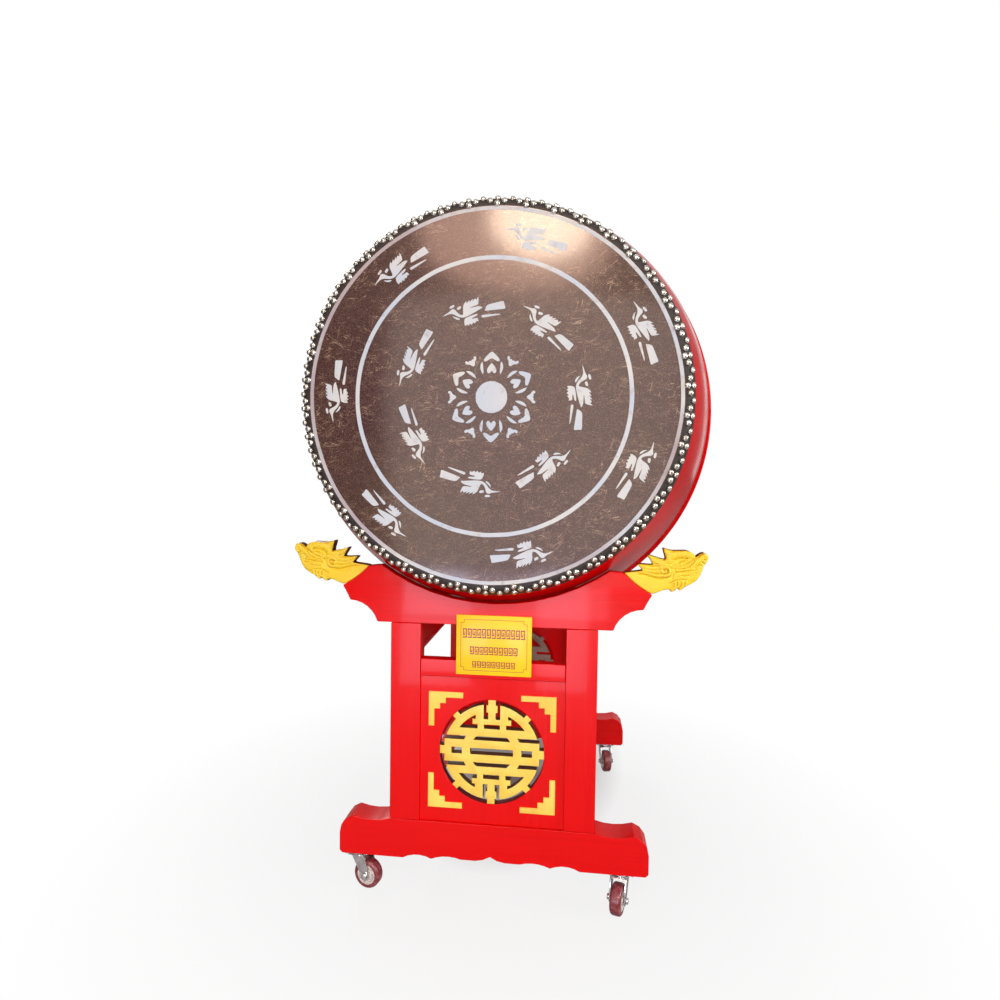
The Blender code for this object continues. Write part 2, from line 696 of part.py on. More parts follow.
def tongue_outline(margin):
    """The dragon head's tongue in the neck joint, made larger by a margin."""
    along, outward = neck_directions()
    centre = Vector(board_point(NECK_MIDDLE))
    half = TONGUE_WIDTH / 2 + margin
    corners = []
    for side, reach in ((-half, -TONGUE_LENGTH - margin), (half, -TONGUE_LENGTH - margin),
                        (half, TONGUE_ROOT), (-half, TONGUE_ROOT)):
        corners.append(tuple(centre + along * side + outward * reach))
    return corners


def tongue_span(rear, margin):
    half = TENON_THICKNESS / 2 + margin
    return span_y(rear, TENON_Y - half, TENON_Y + half)


def board_outline():
    """Cradle board seen from the front."""
    under = arc_through(board_point(SCOOP_START), board_point(SCOOP_MIDDLE), board_point(SCOOP_CUSP), 6)
    neck = arc_through(board_point(SCOOP_CUSP), board_point(NECK_UNDER_MIDDLE), board_point(NECK_LOW), 3)[1:]
    return mirrored(under + neck + neck_arc()[1:] + seat_arc())


def make_cradle_board(frame, rear):
    shape = soften(prism(board_outline(), *span_y(rear, SEAT_Y, FRAME_Y)))
    for right in (False, True):
        shape = mortised(shape, post_tenon(rear, right, BOARD_BOTTOM_Z - FIT, BOARD_BOTTOM_Z + POST_TENON_LENGTH))
        pocket = prism(on_side(tongue_outline(FIT), right), *tongue_span(rear, FIT))
        shape = cut(shape, pocket)
    add_piece(frame + "_cradle_board", shape, "red_lacquer")


def make_dragon_head(frame, rear, right):
    """A thick board sawn to a dragon's head, with a tongue let into the neck."""
    side = "right" if right else "left"
    outward = neck_directions()[1]
    neck = [tuple(Vector(point) + outward * FIT) for point in neck_arc()]
    outline = [board_point(point) for point in HEAD_OUTLINE]
    outline = list(reversed(outline)) + list(reversed(neck))
    shape = prism(on_side(outline, right), *span_y(rear, FRAME_Y - HEAD_DEPTH, FRAME_Y))
    tongue = prism(on_side(tongue_outline(0.0), right), *tongue_span(rear, 0.0))
    add_piece(f"{frame}_{side}_dragon_head", join(shape, tongue), "carving_gold")


def make_mid_rail(frame, rear):
    inner = POST_INNER_X - FIT
    low_y, high_y = span_y(rear, FRAME_Y - MID_RAIL_DEPTH, FRAME_Y)
    shape = soften(box((-inner, low_y, MID_RAIL_BOTTOM_Z), (inner, high_y, MID_RAIL_BOTTOM_Z + MID_RAIL_HEIGHT)))
    for right in (False, True):
        shape = join(shape, box(*mid_rail_tenon(rear, right)))
    add_piece(frame + "_mid_rail", shape, "red_lacquer")


def panel_span(rear):
    return span_y(rear, FRAME_Y - PANEL_RECESS - PANEL_THICKNESS, FRAME_Y - PANEL_RECESS)


def hole_spans(rear):
    """How far from the middle of the stand each round hole starts and ends: right through the front
    panel, and a pocket on each face of the rear one."""
    inner = FRAME_Y - PANEL_RECESS - PANEL_THICKNESS
    outer = FRAME_Y - PANEL_RECESS
    if not rear:
        return {"medallion": (inner, outer)}
    return {"medallion": (outer - POCKET_DEPTH, outer), "inner_medallion": (inner, inner + POCKET_DEPTH)}


def make_panel(frame, rear):
    low_y, high_y = panel_span(rear)
    inner = POST_INNER_X - FIT
    shape = box((-inner, low_y, FOOT_TOP_Z + FIT), (inner, high_y, MID_RAIL_BOTTOM_Z - FIT))
    for near, far in hole_spans(rear).values():
        start, end = span_y(rear, near, far)
        if start == low_y:
            start -= PANEL_THICKNESS
        if end == high_y:
            end += PANEL_THICKNESS
        hole = turned([(0.0, start), (HOLE_RADIUS, start), (HOLE_RADIUS, end), (0.0, end)], HOLE_STEPS)
        bmesh.ops.translate(hole, verts=hole.verts, vec=(0.0, 0.0, ORNAMENT_CENTRE_Z))
        shape = cut(shape, hole)
    add_piece(frame + "_panel", shape, "red_lacquer")


def many_sided_radius(x, z, steps):
    """Circumradius of the regular polygon, with a corner straight below, whose side holds a point."""
    step = 2.0 * math.pi / steps
    angle = (math.atan2(z, x) + math.pi / 2) % step
    return math.hypot(x, z) * math.cos(angle - step / 2) / math.cos(step / 2)


def tab_reach(half_width):
    """How far a tab of the medallion reaches with its corners just short of the panel's hole."""
    clear = HOLE_RADIUS * math.cos(math.pi / HOLE_STEPS) - FIT
    return math.sqrt(clear * clear - half_width * half_width)


def in_medallion(x, z):
    """Whether a point, measured from the centre, is in the fretwork."""
    across, up = abs(x), abs(z)
    radius = many_sided_radius(x, z, HOLE_STEPS)
    hub_radius = many_sided_radius(x, z, HUB_RING_STEPS)
    in_ring = radius <= RING_OUTER
    diagonal = (across + up) / math.sqrt(2.0)
    off_diagonal = abs(across - up) / math.sqrt(2.0)
    return any((
        in_ring and radius >= RING_INNER and up >= LONG_BAR_Z[0] and across >= RING_GAP_HALF,
        in_ring and LONG_BAR_Z[0] <= up <= LONG_BAR_Z[1],
        MIDDLE_BAR_Z[0] <= up <= MIDDLE_BAR_Z[1] and across <= END_BLOCK_X[1],
        END_BLOCK_X[0] <= across <= END_BLOCK_X[1] and up <= MIDDLE_BAR_Z[1],
        END_BLOCK_X[1] <= across <= tab_reach(SIDE_TAB_HALF) and up <= SIDE_TAB_HALF,
        HUB_RING_INNER <= hub_radius <= HUB_RING_OUTER and up <= LONG_BAR_Z[0],
        CROSSBAR_Z[0] <= up <= CROSSBAR_Z[1] and across <= CROSSBAR_HALF,
        UPRIGHT_X[0] <= across <= UPRIGHT_X[1] and LONG_BAR_Z[1] <= up <= CROSSBAR_Z[0],
        RING_GAP_HALF <= across <= STUB_OUTER and up >= CROSSBAR_Z[1] and in_ring,
        across <= STEM_HALF and CROSSBAR_Z[1] <= up <= tab_reach(STEM_HALF),
        across <= STEM_BLOCK_HALF and STEM_BLOCK_Z[0] <= up <= STEM_BLOCK_Z[1],
        off_diagonal <= DIAGONAL_TAB_HALF and radius >= RING_INNER and diagonal <= tab_reach(DIAGONAL_TAB_HALF),
    ))


def medallion_lines():
    """Points and edges that hold every boundary of the fretwork, measured from its centre."""
    points = []
    edges = []

    def line(start, end):
        edges.append((len(points), len(points) + 1))
        points.extend((Vector(start), Vector(end)))

    def rectangle(half_x, low_z, high_z):
        """The four sides of a bar that is centred across, above and below the middle."""
        for sign in (-1.0, 1.0):
            low, high = sign * low_z, sign * high_z
            line((-half_x, low), (half_x, low))
            line((-half_x, high), (half_x, high))
            line((-half_x, low), (-half_x, high))
            line((half_x, low), (half_x, high))

    def circle(radius, steps):
        for step in range(steps):
            ends = []
            for index in (step, step + 1):
                angle = 2.0 * math.pi * index / steps - math.pi / 2
                ends.append((radius * math.cos(angle), radius * math.sin(angle)))
            line(*ends)

    circle(RING_OUTER, HOLE_STEPS)
    circle(RING_INNER, HOLE_STEPS)
    circle(HUB_RING_OUTER, HUB_RING_STEPS)
    circle(HUB_RING_INNER, HUB_RING_STEPS)
    rectangle(RING_OUTER, *LONG_BAR_Z)
    rectangle(END_BLOCK_X[1], *MIDDLE_BAR_Z)
    rectangle(END_BLOCK_X[0], *MIDDLE_BAR_Z)
    rectangle(END_BLOCK_X[1], 0.0, MIDDLE_BAR_Z[1])
    rectangle(END_BLOCK_X[0], 0.0, MIDDLE_BAR_Z[0])
    rectangle(tab_reach(SIDE_TAB_HALF), 0.0, SIDE_TAB_HALF)
    rectangle(CROSSBAR_HALF, *CROSSBAR_Z)
    rectangle(UPRIGHT_X[0], LONG_BAR_Z[1], CROSSBAR_Z[0])
    rectangle(UPRIGHT_X[1], LONG_BAR_Z[1], CROSSBAR_Z[0])
    rectangle(RING_GAP_HALF, CROSSBAR_Z[1], RING_OUTER)
    rectangle(STUB_OUTER, CROSSBAR_Z[1], RING_OUTER)
    rectangle(STEM_HALF, CROSSBAR_Z[1], tab_reach(STEM_HALF))
    rectangle(STEM_BLOCK_HALF, *STEM_BLOCK_Z)
    reach = tab_reach(DIAGONAL_TAB_HALF)
    for quarter in range(4):
        turn = Matrix.Rotation(math.pi / 4 + quarter * math.pi / 2, 2)
        corners = [turn @ Vector(corner) for corner in ((RING_INNER, -DIAGONAL_TAB_HALF),
                   (reach, -DIAGONAL_TAB_HALF), (reach, DIAGONAL_TAB_HALF), (RING_INNER, DIAGONAL_TAB_HALF))]
        for start, end in zip(corners, corners[1:]):
            line(start, end)
    return points, edges


def make_medallion(name, kind, rear, near, far):
    """Round fretwork set in a hole or a pocket of the panel."""
    points, edges = medallion_lines()
    result = delaunay_2d_cdt(points, edges, [], 0, 1e-6)
    shape = bmesh.new()
    low_y, high_y = span_y(rear, near, far)
    verts = [shape.verts.new((point.x, low_y, point.y + ORNAMENT_CENTRE_Z)) for point in result[0]]
    for face in result[2]:
        middle = sum((result[0][index] for index in face), Vector((0.0, 0.0))) / len(face)
        if in_medallion(middle.x, middle.y):
            shape.faces.new([verts[index] for index in face])
    bmesh.ops.delete(shape, geom=[vert for vert in verts if not vert.link_faces], context="VERTS")
    bmesh.ops.dissolve_limit(shape, angle_limit=math.radians(0.5), verts=shape.verts, edges=shape.edges)
    bmesh.ops.triangulate(shape, faces=shape.faces)
    grow = bmesh.ops.extrude_face_region(shape, geom=shape.faces[:])
    moved = [item for item in grow["geom"] if isinstance(item, bmesh.types.BMVert)]
    bmesh.ops.translate(shape, verts=moved, vec=(0.0, high_y - low_y, 0.0))
    add_piece(name, shape, kind)


def make_corner_ornament(frame, rear, right, upper):
    """A stepped bracket whose outer corner points to a corner of the panel."""
    side = "right" if right else "left"
    level = "upper" if upper else "lower"
    first, second, third = ORNAMENT_STEPS
    stair = [(0.0, 0.0), (ORNAMENT_ARM, 0.0), (ORNAMENT_ARM, first), (third, first), (third, second),
             (second, second), (second, third), (first, third), (first, ORNAMENT_ARM), (0.0, ORNAMENT_ARM)]
    toward_x = -1.0 if right else 1.0
    toward_z = -1.0 if upper else 1.0
    outline = []
    for x, z in stair:
        outline.append((-toward_x * ORNAMENT_CORNER_X + toward_x * x,
                        ORNAMENT_CENTRE_Z - toward_z * ORNAMENT_CORNER_Z + toward_z * z))
    seat = FRAME_Y - PANEL_RECESS + FIT
    shape = prism(outline, *span_y(rear, seat, seat + ORNAMENT_THICKNESS))
    add_piece(f"{frame}_{level}_{side}_ornament", shape, "gold_paint")


def make_frame(frame):
    rear = frame == "rear"
    make_foot_beam(frame, rear)
    make_mid_rail(frame, rear)
    make_cradle_board(frame, rear)
    make_panel(frame, rear)
    spans = hole_spans(rear)
    near, far = spans["medallion"]
    make_medallion(frame + "_medallion", "gold_paint", rear, near + (FIT if rear else 0.0), far)
    if rear:
        near, far = spans["inner_medallion"]
        make_medallion("rear_inner_medallion", "bare_wood", rear, near, far - FIT)
    for right in (False, True):
        make_post(frame, rear, right)
        make_dragon_head(frame, rear, right)
        for upper in (False, True):
            make_corner_ornament(frame, rear, right, upper)


def make_plaque():
    """The yellow plate on the front of the window."""
    face = FRAME_Y + FIT
    low = (PLAQUE_LEFT_X, -face - PLAQUE_THICKNESS, PLAQUE_BOTTOM_Z)
    high = (PLAQUE_LEFT_X + PLAQUE_WIDTH, -face, PLAQUE_BOTTOM_Z + PLAQUE_HEIGHT)
    add_piece("plaque", soften(box(low, high), PLAQUE_SOFTENING), "plaque_yellow")


def make_side_rail(right, upper):
    """A rail from the front frame to the rear one."""
    side = "right" if right else "left"
    level = "top" if upper else "bottom"
    centre = POST_MIDDLE_X if right else -POST_MIDDLE_X
    face = FRAME_Y - (POST_DEPTH if upper else FOOT_DEPTH) - FIT
    bottom = TOP_RAIL_BOTTOM_Z if upper else BOTTOM_RAIL_BOTTOM_Z
    height = TOP_RAIL_HEIGHT if upper else BOTTOM_RAIL_HEIGHT
    half = SIDE_RAIL_THICKNESS / 2
    shape = soften(box((centre - half, -face, bottom), (centre + half, face, bottom + height)))
    for rear in (False, True):
        shape = join(shape, box(*side_rail_tenon(rear, right, upper)))
    add_piece(f"{side}_{level}_rail", shape, "red_lacquer")


def make_caster_plate(name, swivel):
    """Mounting plate with the fixed raceway, and the kingpin that holds the fork."""
    top = CASTER_HEIGHT - FIT
    low = top - PLATE_THICKNESS
    race_low = low - RACEWAY_HEIGHT
    head_top = FORK_BRIDGE_LOW - FIT
    head_low = head_top - KINGPIN_HEAD_HEIGHT
    plate = box((-PLATE_LENGTH / 2, -PLATE_WIDTH / 2, low), (PLATE_LENGTH / 2, PLATE_WIDTH / 2, top))
    raceway = turned([(0.0, -(low + PLATE_THICKNESS / 2)), (RACEWAY_RADIUS, -(low + PLATE_THICKNESS / 2)),
                      (RACEWAY_RADIUS, -(low - RACEWAY_HEIGHT / 2)), (RACEWAY_LOW_RADIUS, -race_low),
                      (KINGPIN_RADIUS, -race_low), (KINGPIN_RADIUS, -head_top),
                      (KINGPIN_HEAD_RADIUS, -head_top), (KINGPIN_HEAD_RADIUS, -head_low), (0.0, -head_low)],
                     BORE_STEPS)
    bmesh.ops.rotate(raceway, verts=raceway.verts, matrix=Matrix.Rotation(-math.pi / 2, 3, "X"))
    add_piece(name + "_plate", join(plate, raceway), "zinc_plate", parent=swivel)


def make_caster_fork(name, swivel, turn):
    """A bridge and two legs that lean back to the axle."""
    eye = [(WHEEL_TRAIL + FORK_EYE_RADIUS * math.cos(angle), WHEEL_RADIUS + FORK_EYE_RADIUS * math.sin(angle))
           for angle in (math.radians(degrees) for degrees in (10, -30, -70, -110, -150, -190))]
    outline = [(-FORK_BRIDGE_BACK, FORK_BRIDGE_LOW), (-FORK_BRIDGE_BACK, FORK_BRIDGE_TOP),
               (FORK_BRIDGE_FRONT, FORK_BRIDGE_TOP), (FORK_LEG_FRONT, FORK_BRIDGE_LOW)]
    outline += eye + [(-FORK_LEG_BACK, FORK_BRIDGE_LOW)]
    shape = prism(outline, -FORK_HALF_WIDTH, FORK_HALF_WIDTH)
    reach = WHEEL_RADIUS * 2
    shape = cut(shape, box((-reach, -FORK_GAP / 2, -reach), (reach * 2, FORK_GAP / 2, FORK_BRIDGE_LOW)))
    axle_hole = turned([(0.0, -reach), (AXLE_RADIUS + FIT, -reach), (AXLE_RADIUS + FIT, reach), (0.0, reach)],
                       BORE_STEPS)
    bmesh.ops.translate(axle_hole, verts=axle_hole.verts, vec=(WHEEL_TRAIL, 0.0, WHEEL_RADIUS))
    shape = cut(shape, axle_hole)
    pin_hole = turned([(0.0, -reach), (KINGPIN_RADIUS + FIT, -reach), (KINGPIN_RADIUS + FIT, reach),
                       (0.0, reach)], BORE_STEPS)
    bmesh.ops.translate(pin_hole, verts=pin_hole.verts, vec=(0.0, FORK_BRIDGE_TOP, 0.0))
    shape = cut(shape, stood_up(pin_hole))
    add_piece(name + "_fork", shape, "zinc_plate", turn=turn, parent=swivel)


def make_caster_axle(name, axle):
    """A bolt with its head and nut outside the fork's legs."""
    seat = FORK_HALF_WIDTH + FIT
    end = seat + AXLE_HEAD_HEIGHT
    profile = [(0.0, -end), (AXLE_HEAD_RADIUS, -end), (AXLE_HEAD_RADIUS, -seat), (AXLE_RADIUS, -seat),
               (AXLE_RADIUS, seat), (AXLE_HEAD_RADIUS, seat), (AXLE_HEAD_RADIUS, end), (0.0, end)]
    add_piece(name + "_axle", turned(profile, 6), "zinc_plate", parent=axle)


def make_caster_wheel(name, axle):
    """A hub that turns on the axle, and the tread moulded round it."""
    half = HUB_WIDTH / 2
    rim_half = TREAD_WIDTH / 2
    bore = AXLE_RADIUS + FIT
    side = [(bore, half), (HUB_BOSS_RADIUS, half), (HUB_RADIUS - HUB_RIM_THICKNESS, rim_half - HUB_RECESS),
            (HUB_RADIUS, rim_half)]
    hub = side + [(radius, -along) for radius, along in reversed(side)]
    add_piece(name + "_hub", turned(hub, WHEEL_STEPS), "hub_plastic", parent=axle)
    seat = HUB_RADIUS + FIT
    tread = [(seat, rim_half), (WHEEL_RADIUS - TREAD_SHOULDER, rim_half),
             (WHEEL_RADIUS, rim_half - TREAD_SHOULDER)]
    tread += [(radius, -along) for radius, along in reversed(tread)]
    add_piece(name + "_tread", turned(tread, WHEEL_STEPS), "maroon_tread", parent=axle)


def make_caster(name, x, y, trail):
    swivel = add_axis(name + "_swivel_axis", (x, y, 0.0))
    make_caster_plate(name, swivel)
    make_caster_fork(name, swivel, trail)
    centre = (x + WHEEL_TRAIL * math.cos(trail), y + WHEEL_TRAIL * math.sin(trail), WHEEL_RADIUS)
    axle = add_axis(name + "_wheel_axis", centre, turn=trail)
    make_caster_axle(name, axle)
    make_caster_wheel(name, axle)


def make_casters():
    line = FRAME_Y - FOOT_DEPTH / 2
    make_caster("front_left_caster", CASTER_LEFT_X, -line, FRONT_LEFT_TRAIL)
    make_caster("front_right_caster", CASTER_RIGHT_X, -line, FRONT_RIGHT_TRAIL)
    make_caster("rear_left_caster", CASTER_LEFT_X, line, REAR_LEFT_TRAIL)
    make_caster("rear_right_caster", CASTER_RIGHT_X, line, REAR_RIGHT_TRAIL)


def main():
    clear_scene()
    make_drum()
    make_frame("front")
    make_frame("rear")
    make_plaque()
    for right in (False, True):
        for upper in (False, True):
            make_side_rail(right, upper)
    make_casters()


main()
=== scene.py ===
"""Looks of the temple drum on its wheeled stand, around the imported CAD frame."""

import math

import bmesh
import bpy
import numpy as np
from mathutils import Matrix, Vector, noise
from mathutils.geometry import delaunay_2d_cdt


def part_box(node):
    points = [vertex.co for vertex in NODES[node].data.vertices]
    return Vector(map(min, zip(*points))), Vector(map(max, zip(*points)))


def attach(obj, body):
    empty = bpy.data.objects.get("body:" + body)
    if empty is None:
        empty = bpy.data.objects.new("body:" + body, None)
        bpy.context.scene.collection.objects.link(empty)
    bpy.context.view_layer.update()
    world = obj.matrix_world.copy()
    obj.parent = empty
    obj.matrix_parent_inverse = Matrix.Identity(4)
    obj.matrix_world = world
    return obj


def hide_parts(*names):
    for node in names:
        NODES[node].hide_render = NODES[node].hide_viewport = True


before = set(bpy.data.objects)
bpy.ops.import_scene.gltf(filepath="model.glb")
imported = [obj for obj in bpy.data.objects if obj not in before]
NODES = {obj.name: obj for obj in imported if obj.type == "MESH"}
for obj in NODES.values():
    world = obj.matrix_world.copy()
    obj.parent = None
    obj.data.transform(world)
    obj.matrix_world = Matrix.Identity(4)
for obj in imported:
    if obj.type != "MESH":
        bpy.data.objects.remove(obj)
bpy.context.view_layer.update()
# Without a seed, noise_vector starts from the clock and the tacks differ from run to run
noise.seed_set(1)

# Drum, as the CAD has it: height of its axis, half its depth, radii of the belly and the ends
AXIS_Z = 1.0816
AT_DRUM = Matrix.Translation((0.0, 0.0, AXIS_Z))
HALF = 0.436
BELLY = 0.492
END = 0.3849
WALL = 0.022
BAND_HALF = 0.120
BAND_RAISE = 0.010
BAND_ROUNDING = 0.0035
HIDE = 0.0025
HEM = 0.028
# Clearance between neighbouring pieces
FIT = 0.0003
# Rise of the barrel's straight end, under the hem, for each metre towards the belly
SLOPE = (BELLY - (BELLY - END) * ((HALF - HEM) / HALF) ** 2 - END) / HEM
ROUND_STEPS = 160
# Points along the barrel from its middle, along its inside, the band and the hide's shoulder
BARREL_POINTS = 21
INSIDE_POINTS = 17
BAND_POINTS = 7
SHOULDER_POINTS = 9
# A point with a smaller radius lies on the axis
ON_AXIS = 1e-6

# The painted face lies a little deeper than the tacks, which are driven round its shoulder
FACE = HALF - 0.0048
SHOULDER_START = 0.3792
SHOULDER_CORNER = 0.3892
SHOULDER_END = HALF - 0.0132

# Tacks: angle of each row within a pitch, and the row's radius
PITCHES = 84
TACK_ROWS = ((0.25, 0.3822), (0.75, 0.3872), (0.25, 0.3934))
TACK_RADIUS = 0.0064
TACK_SINK = 0.0005
# How far a tack is off its place, its angle, its lean and its size
TACK_SHIFT = 0.0008
TACK_TURN = 0.0016
TACK_LEAN = 0.09
TACK_SPREAD = 0.04
# A dome and a bolt head: radius and height of each ring, in tack radii or in the bolt's own sizes
DOME = ((0.94, 0.0), (1.0, 0.24), (0.96, 0.50), (0.82, 0.76), (0.56, 0.94), (0.28, 1.02), (0.0, 1.04))
BOLT = ((1.0, 0.0), (1.0, 0.72), (0.86, 1.0))
TACK_SIDES = 14
BOLT_SIDES = 6
STRIP_START = 0.3780
STRIP_MARGIN = 0.0006
STRIP = 0.0006

# Paint on the heads: its thickness, how far it reaches into the hide, and rings as radius and half width
PAINT_DEPTH = 0.00022
PAINT_SINK = 0.0001
OUTER_RING = (0.3735, 0.0037)
INNER_RING = (0.2765, 0.0042)
DISC_RADIUS = 0.0318
DISC_CENTRE = 0.0002
RING_WOBBLE = 0.0006
# Birds: radius of the circle that they fly on, and the angles of their places
OUTER_BIRDS = (0.322, (126, 75, 23, -26, -78, -132, 178))
INNER_BIRDS = (0.176, (103, 52, 0, -52, -103, -154, 154))
PETALS = 6

# Stand
PANEL_EDGE = 0.14
# Round edges: width and number of segments, and the angle from which on an edge is rounded
PANEL_BEVEL = (0.0004, 1)
ORNAMENT_BEVEL = (0.0005, 2)
PLATE_BEVEL = (0.0004, 2)
FORK_BEVEL = (0.0007, 3)
AXLE_BEVEL = (0.0008, 2)
BEVEL_ANGLE = math.radians(40.0)
# A face whose normal lies less than this along Y is not part of the front
FACING = 0.3
HOLE_Z = 0.329
HOLE_RADIUS = 0.116
BOARD_BOTTOM = 0.6042

# Plaque: how far its border is set in at the sides and at the ends, its lines, and the ink on it
BORDER_INSET = (0.0095, 0.009)
BORDER_LINE = 0.0009
BORDER_NOTCH = 0.007
INK_DEPTH = 0.0002
INK_LIFT = 0.00001
INK_SINK = 0.0001
# Its fret: width of a key, and each row's number of keys, height over the floor and height of a key
FRET_PITCH = 0.0104
FRET_ROWS = ((13, 0.578, 0.020), (10, 0.5425, 0.017), (9, 0.5145, 0.0135))
# One key of the fret: a hook of bars, in shares of its own width and height
FRET_KEY = ((0.0, 0.0, 0.84, 0.13), (0.64, 0.13, 0.84, 0.87), (0.0, 0.87, 0.84, 1.0), (0.0, 0.27, 0.18, 0.87),
            (0.18, 0.27, 0.50, 0.40), (0.34, 0.40, 0.50, 0.68))

# Casters
WHEEL_RADIUS = 0.0315
HUB_RIM = 0.0220
TREAD_HALF = 0.012
TREAD_ROUNDING = (0.0060, 0.0066)
TREAD_FOOT = (0.0008, 0.0004)
TREAD_STEPS = 72
HUB_STEPS = 64
HUB_ROUNDING = 0.0005
HUB_HALF = 0.013
# Profile of the hub's side, as radius and distance from its middle: bore, boss, web, ring and rim
HUB_SIDE = ((0.0043, HUB_HALF), (0.0086, HUB_HALF), (0.0093, 0.0120), (0.0098, 0.0078), (0.0118, 0.0074),
            (0.0124, 0.0084), (0.0136, 0.0084), (0.0142, 0.0074), (0.0166, 0.0080), (0.0178, 0.0110),
            (0.0186, 0.0118), (HUB_RIM - 0.0004, 0.0118), (HUB_RIM, 0.0112))
BOLT_PLACES = ((-0.023, -0.018), (-0.023, 0.018), (0.023, -0.018), (0.023, 0.018))
BOLT_Z = 0.0823
BOLT_SIZE = (0.0042, 0.0030)

# Strength of the world: as light on the object, and low and high up as seen in reflections
WORLD_DIM = 0.16
WORLD_GLOSSY = (0.04, 0.7)
SKY_HEIGHTS = (0.15, 0.7)
# Where the ring of light begins and ends, along Y
RIM_EDGES = ((0.885, 0.900), (0.945, 0.925))
# Floor: radius; distances from the middle where it starts to get brighter and where it is white, with the
# brightness at both; and its strength in reflections
FLOOR_RADIUS = 14.0
FLOOR_FADE = (0.35, 1.1, 0.84, 1.0)
FLOOR_GLOSSY = 0.06
# The oval of painted shade on the floor under and behind the stand, and how that painted shade ends
PAINTED_SHADE_STRETCH = (1.15, 0.60, 1.0)
PAINTED_SHADE_CENTRE = (-0.02, 0.26, 0.0)
PAINTED_SHADE_FADE = (0.15, 0.42, 0.03, 1.0)
PLAIN = (1.0, 1.0, 1.0)
# Lamps: name, shape, place, target, size, power and tint. The card's left edge, the top window and the low
# lamps all show in the glossy head and stand
LAMPS = (
    ("key", "RECTANGLE", (2.4, -3.4, 2.5), (0.0, -0.2, 0.9), (1.8, 1.8), 36.0, PLAIN),
    ("front_card", "RECTANGLE", (-0.064, -3.95, 1.25), (-0.064, 0.0, 1.25), (2.54, 2.3), 40.0,
     (1.0, 0.85, 0.75)),
    ("top_window", "ELLIPSE", (-0.02, -3.45, 2.86), (0.0, -0.4, 1.2), (0.80, 0.66), 27.0, (1.0, 0.78, 0.58)),
    ("top_glow", "ELLIPSE", (-0.22, -3.50, 2.80), (0.0, -0.4, 1.2), (1.55, 1.05), 28.0, (1.0, 0.60, 0.46)),
    ("low_left", "RECTANGLE", (-0.40, -1.62, 0.27), (-0.40, 0.0, 0.40), (0.30, 0.44), 2.1, (0.78, 0.80, 1.0)),
    ("low_right", "RECTANGLE", (0.135, -1.62, 0.27), (0.135, 0.0, 0.40), (0.21, 0.44), 1.5,
     (0.78, 0.80, 1.0)),
    ("low_middle", "RECTANGLE", (-0.12, -1.78, 0.385), (-0.12, 0.0, 0.385), (0.90, 0.15), 1.6,
     (0.92, 0.78, 1.0)),
    ("rear_fill", "RECTANGLE", (-2.3, 3.0, 3.4), (0.0, 0.2, 0.9), (1.6, 1.6), 90.0, PLAIN),
    ("side_window", "RECTANGLE", (3.2, -1.0, 1.5), (0.3, 0.0, 0.9), (1.4, 1.4), 60.0, PLAIN),
)
# The photograph's camera, solved from the stand and the drum's rims: place, then yaw, pitch and roll in
# degrees, then lens and sensor width in millimetres
CAMERA_PLACE = (0.1616, -1.6705, 0.9133)
CAMERA_ANGLES = (6.5101, 1.7072, 0.7617)
CAMERA_LENS = 22.4035
SENSOR_WIDTH = 36.0
NEUTRAL_TURN = (0.0, 0.0, 0.0)
NEUTRAL_SCALE = (1.0, 1.0, 1.0)
WHITE = (1.0, 1.0, 1.0, 1.0)
CORNERS = [(end, side) for end in ("front", "rear") for side in ("left", "right")]


class Nodes:
    """Adds shader nodes to one tree."""

    def __init__(self, tree):
        self.tree = tree

    def set(self, node, socket, value):
        """Sets a socket, found by name or number, to a value, or links another socket to it."""
        if isinstance(value, bpy.types.NodeSocket):
            self.tree.links.new(value, node.inputs[socket])
        else:
            node.inputs[socket].default_value = value

    def node(self, kind, inputs=None):
        """A new node with some of its sockets set."""
        made = self.tree.nodes.new("ShaderNode" + kind)
        for socket, value in (inputs or {}).items():
            self.set(made, socket, value)
        return made

    def ramp(self, value, low, high, start=0.0, end=1.0):
        """Maps a value from low..high to start..end, held at both ends."""
        inputs = {"Value": value, "From Min": low, "From Max": high, "To Min": start, "To Max": end}
        return self.node("MapRange", inputs).outputs["Result"]

    def math(self, operation, first, second=0.0):
        made = self.node("Math", {0: first, 1: second})
        made.operation = operation
        return made.outputs[0]

    def distance(self, place, centre):
        made = self.node("VectorMath", {0: place, 1: centre})
        made.operation = "DISTANCE"
        return made.outputs["Value"]

    def mix(self, share, first, second):
        """Blends two colours, or sockets."""
        made = self.node("Mix")
        made.data_type = "RGBA"
        for socket, value in ((0, share), (6, first), (7, second)):
            self.set(made, socket, (*value, 1.0) if isinstance(value, tuple) else value)
        return made.outputs[2]

    def blend(self, value, low, high, first, second, most=1.0):
        """Goes from one colour to another as a value goes from low to high."""
        return self.mix(self.ramp(value, low, high, 0.0, most), first, second)


